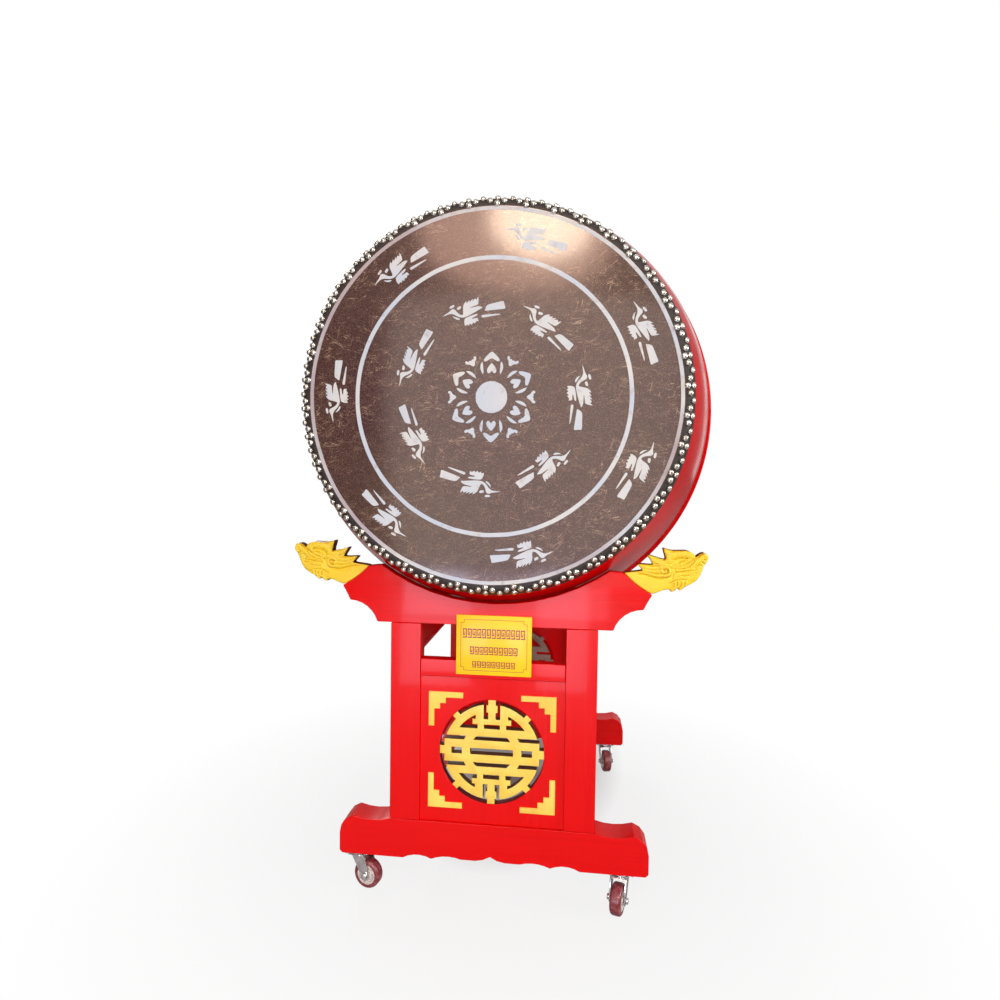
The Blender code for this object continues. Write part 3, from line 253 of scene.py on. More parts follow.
class Paint(Nodes):
    """A procedural material on the Principled shader."""

    def __init__(self, name, roughness=0.5, metallic=0.0, coat=0.0, coat_roughness=0.05, specular=0.5):
        self.material = bpy.data.materials.new(name)
        self.material.use_nodes = True
        super().__init__(self.material.node_tree)
        self.shader = self.tree.nodes["Principled BSDF"]
        for socket, value in (("Roughness", roughness), ("Metallic", metallic), ("Coat Weight", coat),
                              ("Coat Roughness", coat_roughness), ("Specular IOR Level", specular)):
            self.set(self.shader, socket, value)
        self.where = self.node("TexCoord").outputs["Object"]

    def scaled(self, stretch, turn=NEUTRAL_TURN):
        """The place in the object, first turned, then stretched."""
        place = self.where
        for socket, value, neutral in (("Rotation", turn, NEUTRAL_TURN), ("Scale", stretch, NEUTRAL_SCALE)):
            if tuple(value) != neutral:
                place = self.node("Mapping", {"Vector": place, socket: value}).outputs["Vector"]
        return place

    def noise(self, scale, detail=3.0, stretch=NEUTRAL_SCALE, turn=NEUTRAL_TURN, warp=0.0):
        inputs = {"Vector": self.scaled(stretch, turn), "Scale": scale, "Detail": detail, "Distortion": warp}
        return self.node("TexNoise", inputs).outputs["Fac"]

    def attribute(self, name):
        made = self.node("Attribute")
        made.attribute_name = name
        return made.outputs["Fac"]

    def colour(self, value):
        self.set(self.shader, "Base Color", value)

    def rough(self, value, smoothest, roughest, high=0.7):
        self.set(self.shader, "Roughness", self.ramp(value, 0.3, high, smoothest, roughest))

    def bump(self, height, distance, strength=1.0):
        made = self.node("Bump", {"Height": height, "Distance": distance, "Strength": strength})
        previous = self.shader.inputs["Normal"].links
        if previous:
            self.set(made, "Normal", previous[0].from_socket)
        self.set(self.shader, "Normal", made.outputs["Normal"])


def lacquer(name, grain):
    """Red gloss paint over wood whose grain runs along one axis."""
    along = tuple(0.045 if axis == grain else 1.0 for axis in "xyz")
    made = Paint(name, coat=0.22, coat_roughness=0.06, specular=0.16)
    streaks = made.noise(85.0, 5.0, along, warp=0.3)
    clouds = made.noise(3.2, 3.0)
    share = made.math("MULTIPLY", made.ramp(streaks, 0.35, 0.7), made.ramp(clouds, 0.3, 0.75))
    made.colour(made.mix(share, (0.74, 0.002, 0.003), (0.66, 0.001, 0.002)))
    made.rough(made.noise(14.0, 4.0, along), 0.17, 0.34, 0.75)
    made.bump(made.noise(420.0, 3.0, along), 0.0004, 0.18)
    made.bump(made.noise(34.0, 2.0, along), 0.0011, 0.16)
    made.bump(made.noise(640.0, 1.0), 0.0002, 0.12)
    return made.material


def barrel_lacquer():
    made = Paint("barrel_lacquer", coat=0.05, coat_roughness=0.05, specular=0.12)
    clouds = made.noise(5.0, 4.0, (1.0, 0.4, 1.0), warp=0.4)
    made.colour(made.blend(clouds, 0.3, 0.75, (0.62, 0.002, 0.003), (0.49, 0.001, 0.002)))
    made.rough(made.noise(22.0, 3.0), 0.12, 0.22)
    made.bump(made.noise(9.0, 2.0, (1.0, 0.35, 1.0)), 0.0014, 0.22)
    made.bump(made.noise(300.0, 2.0), 0.0002, 0.14)
    return made.material


def hide():
    """Dark stretched skin: mottled, with pores and pale hair-fine scratches that mostly lie flat."""
    made = Paint("hide", coat=1.0, coat_roughness=0.12, specular=0.15)
    clouds = made.noise(2.6, 4.0, warp=0.6)
    mottle = made.noise(42.0, 6.0, warp=0.4)
    specks = made.noise(520.0, 3.0)
    base = made.blend(clouds, 0.32, 0.7, (0.046, 0.013, 0.019), (0.070, 0.038, 0.025))
    base = made.blend(mottle, 0.40, 0.64, base, (0.032, 0.013, 0.013), 0.4)
    base = made.blend(specks, 0.53, 0.70, base, (0.25, 0.150, 0.112), 0.7)
    total = None
    for order, degrees in enumerate((4, 14, 25, 38, 78, 148, 161, 172)):
        turn = (0.0, math.radians(degrees), 0.0)
        lines = made.noise(270.0 + 24.0 * order, 1.0, (0.05, 0.2, 1.0), turn, warp=0.5)
        off = made.math("ABSOLUTE", made.math("SUBTRACT", lines, 0.5))
        gate = made.ramp(made.noise(52.0 + 4.0 * order, 2.0, (0.4, 1.0, 1.0), turn), 0.58, 0.65)
        lines = made.math("MULTIPLY", made.ramp(off, 0.009, 0.002), gate)
        total = lines if total is None else made.math("MAXIMUM", total, lines)
    patches = made.ramp(made.noise(7.0, 2.0), 0.40, 0.60, 0.25, 1.0)
    made.colour(made.mix(made.math("MULTIPLY", total, patches), base, (0.66, 0.47, 0.34)))
    upright = made.noise(60.0, 3.0, (1.0, 1.0, 0.05))
    made.rough(upright, 0.28, 0.46)
    made.bump(upright, 0.0003, 0.08)
    made.bump(specks, 0.0002, 0.3)
    made.bump(total, 0.0002, 0.4)
    made.bump(mottle, 0.0004, 0.12)
    return made.material


def stencil_paint():
    """Chalky white paint, worn thin in places so that the hide tints it. The outer ring is also darker and
    greyer in large patches.
    """
    made = Paint("stencil_paint", roughness=0.5)
    wear = made.noise(70.0, 5.0, warp=0.3)
    white = made.blend(made.noise(11.0, 2.0), 0.35, 0.65, (0.60, 0.65, 0.66), (0.48, 0.58, 0.70))
    reach = made.distance(made.scaled((1.0, 0.0, 1.0)), (0.0, 0.0, AXIS_Z))
    # The outer ring is darker and greyer in large patches
    outer_patches = made.ramp(made.noise(3.0, 1.0), 0.40, 0.56, 0.75, 0.1)
    edge = made.math("MULTIPLY", made.ramp(reach, 0.365, 0.368), outer_patches)
    white = made.mix(edge, white, (0.34, 0.27, 0.29))
    made.colour(made.blend(wear, 0.58, 0.80, white, (0.33, 0.27, 0.25), 0.65))
    made.rough(wear, 0.42, 0.62)
    made.bump(wear, 0.0003, 0.4)
    return made.material


def tack_metal():
    made = Paint("tack_metal", metallic=1.0)
    tarnish = made.noise(240.0, 4.0)
    base = made.blend(made.noise(45.0, 2.0), 0.35, 0.65, (0.80, 0.77, 0.71), (0.58, 0.53, 0.46))
    made.colour(made.blend(tarnish, 0.52, 0.75, base, (0.12, 0.095, 0.08), 0.8))
    made.rough(tarnish, 0.10, 0.34, 0.75)
    made.bump(made.noise(500.0, 2.0), 0.0002, 0.2)
    return made.material


def gold_paint():
    """Flat yellow-gold paint of the fretwork, with specks and thin places."""
    made = Paint("gold_paint", coat=0.15, coat_roughness=0.25)
    clouds = made.noise(26.0, 4.0)
    specks = made.noise(330.0, 3.0)
    base = made.blend(clouds, 0.3, 0.7, (0.93, 0.70, 0.115), (0.86, 0.60, 0.075))
    base = made.blend(specks, 0.62, 0.72, base, (0.50, 0.30, 0.035), 0.6)
    made.colour(made.blend(specks, 0.36, 0.28, base, (0.98, 0.84, 0.30), 0.5))
    made.rough(clouds, 0.36, 0.52)
    made.bump(specks, 0.0003, 0.35)
    return made.material


def carving_gold():
    """Gold paint on carved wood. The relief attribute sets painted shade in the grooves and a painted
    highlight on the ridges.
    """
    made = Paint("carving_gold", coat=0.12, coat_roughness=0.3)
    specks = made.noise(300.0, 3.0)
    relief = made.attribute("relief")
    base = made.blend(made.noise(30.0, 3.0), 0.3, 0.7, (0.90, 0.69, 0.030), (0.86, 0.62, 0.020))
    # Painted shade in the grooves, where the relief value is low
    base = made.blend(relief, 0.45, 0.0, base, (0.60, 0.36, 0.012), 0.9)
    # Painted highlight on the ridges, where the relief value is high
    base = made.blend(relief, 0.62, 0.95, base, (0.97, 0.82, 0.14), 0.4)
    made.colour(made.blend(specks, 0.62, 0.74, base, (0.48, 0.27, 0.02), 0.5))
    made.rough(specks, 0.34, 0.50)
    made.bump(specks, 0.0003, 0.4)
    return made.material


def plaque_yellow():
    made = Paint("plaque_yellow", coat=0.12, coat_roughness=0.08, specular=0.3)
    made.colour(made.blend(made.noise(16.0, 3.0), 0.3, 0.7, (0.93, 0.64, 0.006), (0.90, 0.60, 0.010)))
    made.rough(made.noise(60.0, 3.0), 0.16, 0.26)
    made.bump(made.noise(260.0, 2.0), 0.0001, 0.2)
    return made.material


def zinc():
    made = Paint("zinc_plate", metallic=1.0)
    stain = made.noise(60.0, 5.0, warp=0.5)
    fine = made.noise(420.0, 3.0, (1.0, 1.0, 0.2))
    made.colour(made.blend(stain, 0.4, 0.75, (0.86, 0.87, 0.90), (0.52, 0.51, 0.52)))
    made.rough(fine, 0.14, 0.30)
    made.bump(fine, 0.0002, 0.25)
    return made.material


def hub_plastic():
    made = Paint("hub_plastic", coat=0.2, coat_roughness=0.2)
    dirt = made.noise(110.0, 4.0)
    made.colour(made.blend(dirt, 0.5, 0.8, (0.66, 0.64, 0.60), (0.36, 0.33, 0.30)))
    made.rough(dirt, 0.30, 0.50)
    made.bump(made.noise(300.0, 2.0), 0.0002, 0.3)
    return made.material


def worn(name, field, ends, colours, rough, bump=(0.0, 0.0), **shader):
    """A surface whose colour, gloss and relief all follow one noise."""
    made = Paint(name, **shader)
    wear = made.noise(*field)
    made.colour(made.blend(wear, *ends, *colours))
    made.rough(wear, *rough)
    if any(bump):
        made.bump(wear, *bump)
    return made.material


def sawn_edge(name, dark, light):
    """Wood across the saw's marks."""
    return worn(name, (240.0, 4.0, (1.0, 0.12, 1.0)), (0.3, 0.7), (dark, light), (0.45, 0.7), (0.0005, 0.5))


MATERIALS = {
    "upright": lacquer("red_lacquer_upright", "z"),
    "across": lacquer("red_lacquer_across", "x"),
    "lengthwise": lacquer("red_lacquer_lengthwise", "y"),
    "hole_wall": sawn_edge("panel_hole_wall", (0.10, 0.006, 0.006), (0.19, 0.010, 0.010)),
    "barrel": barrel_lacquer(),
    "hide": hide(),
    "stencil": stencil_paint(),
    "tack": tack_metal(),
    "strip": worn("tack_strip", (260.0, 4.0), (0.35, 0.7), ((0.010, 0.007, 0.007), (0.034, 0.025, 0.022)),
                  (0.45, 0.7), (0.0004, 0.5)),
    "gold": gold_paint(),
    "carving": carving_gold(),
    "bare": sawn_edge("bare_wood", (0.20, 0.12, 0.09), (0.36, 0.24, 0.19)),
    "sawn": sawn_edge("sawn_edge", (0.055, 0.022, 0.010), (0.135, 0.060, 0.024)),
    "plaque": plaque_yellow(),
    "ink": worn("plaque_ink", (300.0, 3.0), (0.35, 0.7), ((0.34, 0.010, 0.004), (0.22, 0.02, 0.006)),
                (0.3, 0.45)),
    "zinc": zinc(),
    "hub": hub_plastic(),
    "tread": worn("maroon_tread", (90.0, 5.0, NEUTRAL_SCALE, NEUTRAL_TURN, 0.3), (0.42, 0.75),
                  ((0.185, 0.018, 0.028), (0.330, 0.110, 0.120)), (0.24, 0.45), (0.0003, 0.3),
                  coat=0.35, coat_roughness=0.18),
}


def add_object(name, data):
    made = bpy.data.objects.new(name, data)
    bpy.context.scene.collection.objects.link(made)
    return made


def mesh_of(name, shape, materials):
    """Turns a bmesh into a mesh and frees it."""
    mesh = bpy.data.meshes.new(name)
    shape.to_mesh(mesh)
    shape.free()
    for material in materials:
        mesh.materials.append(material)
    return mesh


def face_outwards(shape):
    bmesh.ops.recalc_face_normals(shape, faces=shape.faces)


def piece(name, shape, body, materials, replaces=(), smooth=35.0, matrix=None):
    if matrix is not None:
        bmesh.ops.transform(shape, matrix=matrix, verts=shape.verts)
    mesh = mesh_of(name, shape, [MATERIALS[key] for key in materials])
    if smooth:
        mesh.shade_smooth()
        mesh.set_sharp_from_angle(angle=math.radians(smooth))
    made = add_object(name, mesh)
    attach(made, body)
    if replaces:
        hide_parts(*replaces)
    return made


def around(steps):
    """The angles of a full turn, with a number of steps."""
    return [2.0 * math.pi * step / steps for step in range(steps)]


def spaced(start, end, count):
    """Numbers at equal steps, both ends included."""
    return np.linspace(start, end, count).tolist()


def join_rings(shape, first, second, material=0):
    """Faces between two rings of vertices, one of which may be a single point."""
    steps = max(len(first), len(second))
    for step in range(steps):
        after = (step + 1) % steps
        corners = [first[step % len(first)], first[after % len(first)],
                   second[after % len(second)], second[step % len(second)]]
        shape.faces.new(list(dict.fromkeys(corners))).material_index = material


def add_knob(shape, centre, up, profile, size, steps, material=0):
    """A small turned or sided head on a surface. Its profile is in shares of the size, radius and height."""
    radius, height = size
    side = up.orthogonal().normalized()
    other = up.cross(side)
    rings = []
    for spread, level in profile:
        middle = centre + up * height * level
        spokes = [side * math.cos(angle) + other * math.sin(angle)
                  for angle in around(steps if spread else 1)]
        rings.append([shape.verts.new(middle + radius * spread * ray) for ray in spokes])
    for first, second in zip(rings, rings[1:]):
        join_rings(shape, first, second, material)
    if len(rings[-1]) > 1:
        shape.faces.new(rings[-1]).material_index = material
    shape.faces.new(rings[0][::-1]).material_index = material


def lathe(profile, steps):
    """Turns a closed profile of (radius, y) points about Y into a ring or, with ends on the axis, a solid."""
    shape = bmesh.new()
    rings = []
    for radius, along in profile:
        rings.append([shape.verts.new((radius * math.sin(angle), along, -radius * math.cos(angle)))
                      for angle in around(steps if radius > ON_AXIS else 1)])
    pairs = list(zip(rings, rings[1:]))
    if profile[0][0] > ON_AXIS:
        pairs.append((rings[-1], rings[0]))
    for first, second in pairs:
        join_rings(shape, first, second)
    face_outwards(shape)
    return shape


def rounded(points, radius, steps=4):
    """A closed profile with its sharp corners rounded."""
    result = []
    count = len(points)
    for index, point in enumerate(points):
        here = Vector(point)
        before = Vector(points[index - 1]) - here
        after = Vector(points[(index + 1) % count]) - here
        if point[0] < ON_AXIS or before.angle(after) > math.radians(150.0):
            result.append(point)
            continue
        reach = min(radius, before.length * 0.45, after.length * 0.45)
        start = here + before.normalized() * reach
        end = here + after.normalized() * reach
        for step in range(steps + 1):
            share = step / steps
            result.append(tuple((1 - share) ** 2 * start + 2 * share * (1 - share) * here + share ** 2 * end))
    return result


def shell_radius(along):
    return BELLY - (BELLY - END) * (along / HALF) ** 2


def cone_radius(along):
    """Radius of the barrel's straight end, under the hide."""
    return END + SLOPE * (HALF - along)


def hide_curve(lift=0.0):
    """Outside of the hide from the face's edge over the shoulder to the hem's end, raised by a lift."""
    start = Vector((SHOULDER_START, FACE))
    corner = Vector((SHOULDER_CORNER, FACE))
    end = Vector((cone_radius(SHOULDER_END) + FIT + HIDE, SHOULDER_END))
    curve = []
    for step in range(SHOULDER_POINTS):
        t = step / (SHOULDER_POINTS - 1)
        point = (1.0 - t) ** 2 * start + 2.0 * t * (1.0 - t) * corner + t ** 2 * end
        slope = (1.0 - t) * (corner - start) + t * (end - corner)
        curve.append(point + lift * t * Vector((-slope.y, slope.x)).normalized())
    low = HALF - HEM
    curve.append(Vector((cone_radius(low) + FIT + HIDE + lift, low)))
    return curve


def other_side(half):
    """The mirror image of one half of a profile, in reverse order."""
    return [(radius, -along) for radius, along in reversed(half)]


def both_ways(half):
    """A profile from its mirror image's end, over the middle, to its own end."""
    return other_side(half) + half[1:]


def make_barrel():
    last = FACE - HIDE - FIT
    half = [(shell_radius(along), along) for along in spaced(0.0, HALF - HEM, BARREL_POINTS)]
    half += [(cone_radius(SHOULDER_END), SHOULDER_END), (SHOULDER_START, last)]
    inner = [(shell_radius(along) - WALL, along) for along in spaced(last, -last, INSIDE_POINTS)]
    piece("drum_barrel", lathe(both_ways(half) + inner, ROUND_STEPS), "drum", ["barrel"],
          ["drum_shell"], matrix=AT_DRUM)
    half = [(shell_radius(along) + BAND_RAISE, along) for along in spaced(0.0, BAND_HALF, BAND_POINTS)]
    half.pop()
    edge = shell_radius(BAND_HALF) + BAND_RAISE
    for angle in spaced(0.0, math.pi / 2, 6):
        half.append((edge - BAND_ROUNDING * (1.0 - math.cos(angle)),
                     BAND_HALF - BAND_ROUNDING * (1.0 - math.sin(angle))))
    inner = [(shell_radius(along) + FIT, along) for along in (BAND_HALF, 0.0, -BAND_HALF)]
    piece("barrel_band", lathe(both_ways(half) + inner, ROUND_STEPS), "drum", ["barrel"],
          ["belly_band"], smooth=50.0, matrix=AT_DRUM)


def head_matrix(sign):
    """Turns shapes made for the rear end, whose face looks along +Y, to the front or leaves them."""
    turn = Matrix.Identity(4) if sign > 0 else Matrix.Rotation(math.pi, 4, "Z")
    return AT_DRUM @ turn


def make_hide(end, sign):
    curve = hide_curve()
    profile = [(0.0, FACE), (curve[0].x * 0.5, FACE)] + [tuple(point) for point in curve]
    low = HALF - HEM
    profile += [(cone_radius(low) + FIT, low), (cone_radius(SHOULDER_END) + FIT, SHOULDER_END),
                (SHOULDER_START, FACE - HIDE), (0.0, FACE - HIDE)]
    piece(end + "_hide", lathe(profile, ROUND_STEPS), "drum", ["hide"],
          [end + "_skin", end + "_skin_hem"], matrix=head_matrix(sign))


def on_curve(curve, radius):
    """The place and the outward direction where a curve has a radius."""
    for start, end in zip(curve, curve[1:]):
        if start.x <= radius <= end.x:
            step = end - start
            return start + step * (radius - start.x) / step.x, Vector((-step.y, step.x)).normalized()
    return curve[-1], Vector((1.0, 0.0))


def make_tack_ring(end, sign):
    """A dark strip from the painted ring over the shoulder to the hem, and the tacks driven through it."""
    outer = hide_curve(STRIP)
    outer[-1].y += STRIP_MARGIN
    inner = hide_curve(0.0)
    inner[-1].y += STRIP_MARGIN
    paint = PAINT_DEPTH * 0.8
    strip = [(STRIP_START, FACE - FIT), (STRIP_START, FACE + paint)]
    lifts = spaced(paint, 0.0, len(outer))
    strip += [(point.x, point.y + lift) for point, lift in zip(outer, lifts)]
    strip += [(point.x - FIT, point.y) for point in reversed(inner)]
    shape = lathe(strip, PITCHES * 2)
    strip_faces = len(shape.faces)
    for pitch in range(PITCHES):
        for row, (across, radius) in enumerate(TACK_ROWS):
            # The innermost row has half as many tacks
            if row == 0 and pitch % 2:
                continue
            jitter = noise.noise_vector((pitch * 1.7, row * 3.1, sign * 5.0))
            place, lean = on_curve(outer, radius + TACK_SHIFT * jitter.x)
            angle = 2.0 * math.pi * (pitch + across) / PITCHES + TACK_TURN * jitter.y
            outward = Vector((math.sin(angle), 0.0, -math.cos(angle)))
            normal = (outward * lean.x + Vector((0.0, lean.y, 0.0)) + jitter * TACK_LEAN).normalized()
            centre = outward * place.x + Vector((0.0, place.y, 0.0)) - normal * TACK_SINK
            size = TACK_RADIUS * (1.0 + TACK_SPREAD * jitter.z)
            add_knob(shape, centre, normal, DOME, (size, size), TACK_SIDES, 1)
    shape.faces.ensure_lookup_table()
    bmesh.ops.recalc_face_normals(shape, faces=shape.faces[strip_faces:])
    piece(end + "_tack_ring", shape, "drum", ["strip", "tack"], [end + "_tacks"], smooth=50.0,
          matrix=head_matrix(sign))


# One bird of the heads, in millimetres: (forwards, outwards) from its middle
BIRD = (
    ((62.9, 3.5), (54.8, 6.8), (48.8, 8.6), (44.2, 11), (41.7, 12.7), (38.6, 13.3), (35.5, 12.1),
     (33.4, 9.2), (31.6, 5.2), (29.2, 1.6), (26.5, -1.2), (23.3, -2.9), (20.6, -2.6), (19.2, 3.5),
     (18, 10.1), (16.4, 15.1), (13.3, 18.8), (8.6, 22.3), (9.4, 17.4), (1.2, 22.9), (3.1, 17.8),
     (-5.6, 24.2), (-2.9, 18.6), (-10, 23.6), (-12.1, 19.4), (-16.6, 25.4), (-16.2, 20.1), (-14.9, 14.3),
     (-12.8, 10), (-3.8, 8.9), (4.1, 7.9), (4, 7), (-9.5, 6.7), (-16.2, 5.6), (-20.9, 2.2), (-12.1, -0.9),
     (-0.2, -4.3), (10.5, -7.2), (19.6, -8.6), (25.3, -7.4), (30.4, -4.8), (35, -0.9), (38.8, 2.4),
     (43.9, 4.8), (48.8, 5.3), (56.8, 4)),
    ((44.8, 16.4), (44.2, 18.8), (40.2, 20.3), (35.3, 21.4), (33.3, 19.3), (35.4, 16.6), (39, 15.5),
     (42.6, 14.9)),
    ((30.2, 11), (29.9, 13.4), (26.5, 14.8), (21.8, 15.9), (20.8, 13.3), (23.2, 10.2), (27.1, 8.7),
     (29.4, 9.4)),
    ((41.6, 0.2), (39.6, -1.8), (36.4, -4.1), (33, -5.8), (28.2, -9.3), (30.3, -10.4), (33.6, -9.9),
     (37.8, -7.2), (40.5, -3.8)),
    ((21.4, -25.8), (22, -18.9), (19.6, -11.2), (12.6, -9.4), (4.6, -8.2), (-7.3, -7.4), (-8.2, -9.5),
     (-4.5, -11.4), (3.6, -13), (5.6, -14.8), (1.8, -15.2), (-6, -15.4), (-7, -18.6), (-7, -22.9),
     (-3.5, -20.9), (2, -25.6), (4, -22), (8.1, -26.9), (10.6, -22.6), (14.6, -26.6), (16, -23)),
    ((-14.4, -15.3), (-16.6, -12.2), (-24.2, -13.4), (-37, -15.6), (-46.8, -17.2), (-53, -19.3),
     (-52.9, -20.3), (-42.8, -19.7), (-32.6, -19), (-22.3, -18.3), (-16.4, -17.8)),
    ((-23.3, -5.4), (-29.6, 4.3), (-37.8, 5.1), (-51.3, 4.8), (-63.2, 4.6), (-64.9, 2.9), (-64.4, -3.5),
     (-65.6, -10.9), (-60.1, -11), (-47.4, -9), (-34.5, -7.3)),
)


def mirrored(half):
    """The outline of a figure that is alike on both sides, from its points at the right."""
    return half + tuple((-x, y) for x, y in reversed(half[1:-1]))


# One petal of the lotus and one sepal, in millimetres: (sideways, outwards) from the middle of the head
LEAF = ((19, 71), (22.6, 65.5), (23.2, 58), (21, 50.5), (17, 45), (16.2, 51.5), (17, 58.5), (17.4, 65))
PETAL = (
    mirrored(((0, 91.5), (8, 84.5), (15, 76.5), (16.5, 72.5), (13.5, 70.5), (8.5, 72.5), (0, 78))),
    mirrored(((0, 68.5), (5.5, 62), (9.5, 55.5), (9.2, 49.5), (6, 46.8), (2.2, 49), (0, 53))),
    LEAF,
    tuple((-x, y) for x, y in reversed(LEAF)),
)
SEPAL = (
    mirrored(((0, 82.6), (2.2, 85.2), (6, 83.6), (8.5, 88.5), (13, 87), (11.5, 81.5), (6, 78.5), (3.2, 73),
              (0, 70.5))),
)


# Corner cutting: the share of each side that goes at a corner and at a sharp tip, and what counts as a tip
CORNER_CUT = 0.24
TIP_CUT = 0.10
TIP_ANGLE = math.radians(75.0)


def softened(outline):
    """One round of corner cutting, which leaves sharp tips nearly in place."""
    result = []
    count = len(outline)
    for index in range(count):
        here, after = Vector(outline[index]), Vector(outline[(index + 1) % count])
        before = Vector(outline[index - 1])
        tip = (before - here).angle(after - here, 3.0) < TIP_ANGLE
        share = TIP_CUT if tip else CORNER_CUT
        result.append(here.lerp(before, share))
        result.append(here.lerp(after, share))
    return result


def add_figure(shape, outline, spot):
    """A flat figure, raised as a thin layer of paint on the head. Its outline is in millimetres."""
    points = [spot(Vector((across * 0.001, up * 0.001))) for across, up in softened(outline)]
    cut = delaunay_2d_cdt(points, [(i, (i + 1) % len(points)) for i in range(len(points))], [], 1, 1e-7)
    top = [shape.verts.new((p.x, FACE + PAINT_DEPTH, p.y)) for p in cut[0]]
    for triangle in cut[2]:
        shape.faces.new([top[index] for index in triangle])
    low = [shape.verts.new((p.x, FACE - PAINT_SINK, p.y)) for p in cut[0]]
    edges = [edge for edge in shape.edges if edge.is_boundary and edge.verts[0] in set(top)]
    index_of = {vert: index for index, vert in enumerate(top)}
    for edge in edges:
        first, second = (index_of[vert] for vert in edge.verts)
        shape.faces.new((top[first], top[second], low[second], low[first]))
    bmesh.ops.delete(shape, geom=[vert for vert in top + low if not vert.link_faces], context="VERTS")


def add_ring(shape, radius, half_width):
    """A painted ring with slightly uneven edges. Without a half width it is a disc."""
    levels = []
    inner = max(radius - (half_width or radius), 0.0)
    for height in (FACE + PAINT_DEPTH, FACE - PAINT_SINK):
        for limit in (inner, radius + half_width):
            ring = []
            for angle in around(ROUND_STEPS):
                across, up = math.cos(angle), math.sin(angle)
                wobble = RING_WOBBLE * noise.noise((across * 9.0, up * 9.0, limit * 40.0))
                size = limit + wobble if limit else DISC_CENTRE
                ring.append(shape.verts.new((size * across, height, size * up)))
            levels.append(ring)
    top_in, top_out, low_in, low_out = levels
    for first, second in ((top_in, top_out), (top_out, low_out), (low_in, top_in)):
        join_rings(shape, first, second)


def spoke(degrees):
    """The outward direction at an angle, as sideways and upwards on the head."""
    return Vector((math.cos(math.radians(degrees)), math.sin(math.radians(degrees))))


def make_stencils(end, sign):
    shape = bmesh.new()
    add_ring(shape, *OUTER_RING)
    add_ring(shape, *INNER_RING)
    add_ring(shape, DISC_RADIUS, 0.0)
    turns = [360 // PETALS * order for order in range(PETALS)]
    for outlines, start in ((PETAL, 90), (SEPAL, 60)):
        for turn in turns:
            outward = spoke(start + turn)
            side = Vector((outward.y, -outward.x))
            for outline in outlines:
                add_figure(shape, outline, lambda p: side * p.x + outward * p.y)
    for radius, places in (OUTER_BIRDS, INNER_BIRDS):
        for degrees in places:
            outward = spoke(degrees)
            ahead = Vector((-outward.y, outward.x))
            for outline in BIRD:
                add_figure(shape, outline, lambda p: ahead * p.x + outward * (p.y + radius))
    # Seen from outside, the pattern made here is mirrored at the rear end and has to be turned at the front
    flip = Matrix.Scale(-1.0, 4, (1.0, 0.0, 0.0))
    bmesh.ops.transform(shape, matrix=flip, verts=shape.verts)
    face_outwards(shape)
    piece(end + "_stencils", shape, "drum", ["stencil"], smooth=0.0, matrix=head_matrix(sign))


def make_drum():
    make_barrel()
    for end, sign in (("front", -1.0), ("rear", 1.0)):
        make_hide(end, sign)
        make_tack_ring(end, sign)
        make_stencils(end, sign)


def cad_copy(node):
    """A bmesh of a CAD node with its split corners joined and its flat faces whole."""
    shape = bmesh.new()
    shape.from_mesh(NODES[node].data)
    bmesh.ops.remove_doubles(shape, verts=shape.verts, dist=1e-6)
    for face in shape.faces:
        face.material_index = 0
    bmesh.ops.dissolve_limit(shape, angle_limit=math.radians(1.0), verts=shape.verts, edges=shape.edges)
    face_outwards(shape)
    return shape


def make_timber(node, body, material):
    """A piece of wood as the CAD has it. Its chamfers shade as round edges."""
    made = piece(node + "_wood", cad_copy(node), body, [material], [node], smooth=62.0)
    step = made.modifiers.new("weighted normals", "WEIGHTED_NORMAL")
    step.keep_sharp = True
    step.weight = 100


def bevelled(shape, width, segments):
    edges = [edge for edge in shape.edges if edge.calc_face_angle(0.0) > BEVEL_ANGLE]
    bmesh.ops.bevel(shape, geom=edges, offset=width, offset_type="OFFSET", segments=segments, affect="EDGES",
                    clamp_overlap=True, profile=0.5)
    return shape


def paint_front_only(shape, outward):
    """Leaves the paint on the outer face alone; walls and back get the second material."""
    shape.normal_update()
    for face in shape.faces:
        if face.normal.y * outward < FACING:
            face.material_index = 1


def make_ornament(name, node, shape, materials):
    piece(name, bevelled(shape, *ORNAMENT_BEVEL), "stand", materials, [node], smooth=30.0)


def make_frame(end):
    for side in ("left", "right"):
        make_timber(f"{end}_{side}_post", "stand", "upright")
    for name in ("foot_beam", "cradle_board", "mid_rail"):
        make_timber(f"{end}_{name}", "stand", "across")
    panel = cad_copy(end + "_panel")
    for vert in panel.verts:
        if abs(vert.co.x) > PANEL_EDGE:
            vert.co.x += math.copysign(FIT, vert.co.x)
    panel.normal_update()
    for face in panel.faces:
        middle = face.calc_center_median()
        if abs(face.normal.y) < FACING and math.hypot(middle.x, middle.z - HOLE_Z) < HOLE_RADIUS:
            face.material_index = 1
    piece(end + "_panel_wood", bevelled(panel, *PANEL_BEVEL), "stand",
          ["upright", "hole_wall"], [end + "_panel"], smooth=30.0)
    fret = cad_copy(end + "_medallion")
    paint_front_only(fret, -1.0 if end == "front" else 1.0)
    make_ornament(end + "_fretwork", end + "_medallion", fret, ["gold", "sawn"])
    if end == "rear":
        node = "rear_inner_medallion"
        make_ornament("rear_inner_fretwork", node, cad_copy(node), ["bare"])
    for level in ("upper", "lower"):
        for side in ("left", "right"):
            node = f"{end}_{level}_{side}_ornament"
            make_ornament(node + "_gold", node, cad_copy(node), ["gold"])


def make_stand():
    for end in ("front", "rear"):
        make_frame(end)
    for side in ("left", "right"):
        for level in ("top", "bottom"):
            make_timber(f"{side}_{level}_rail", "stand", "lengthwise")


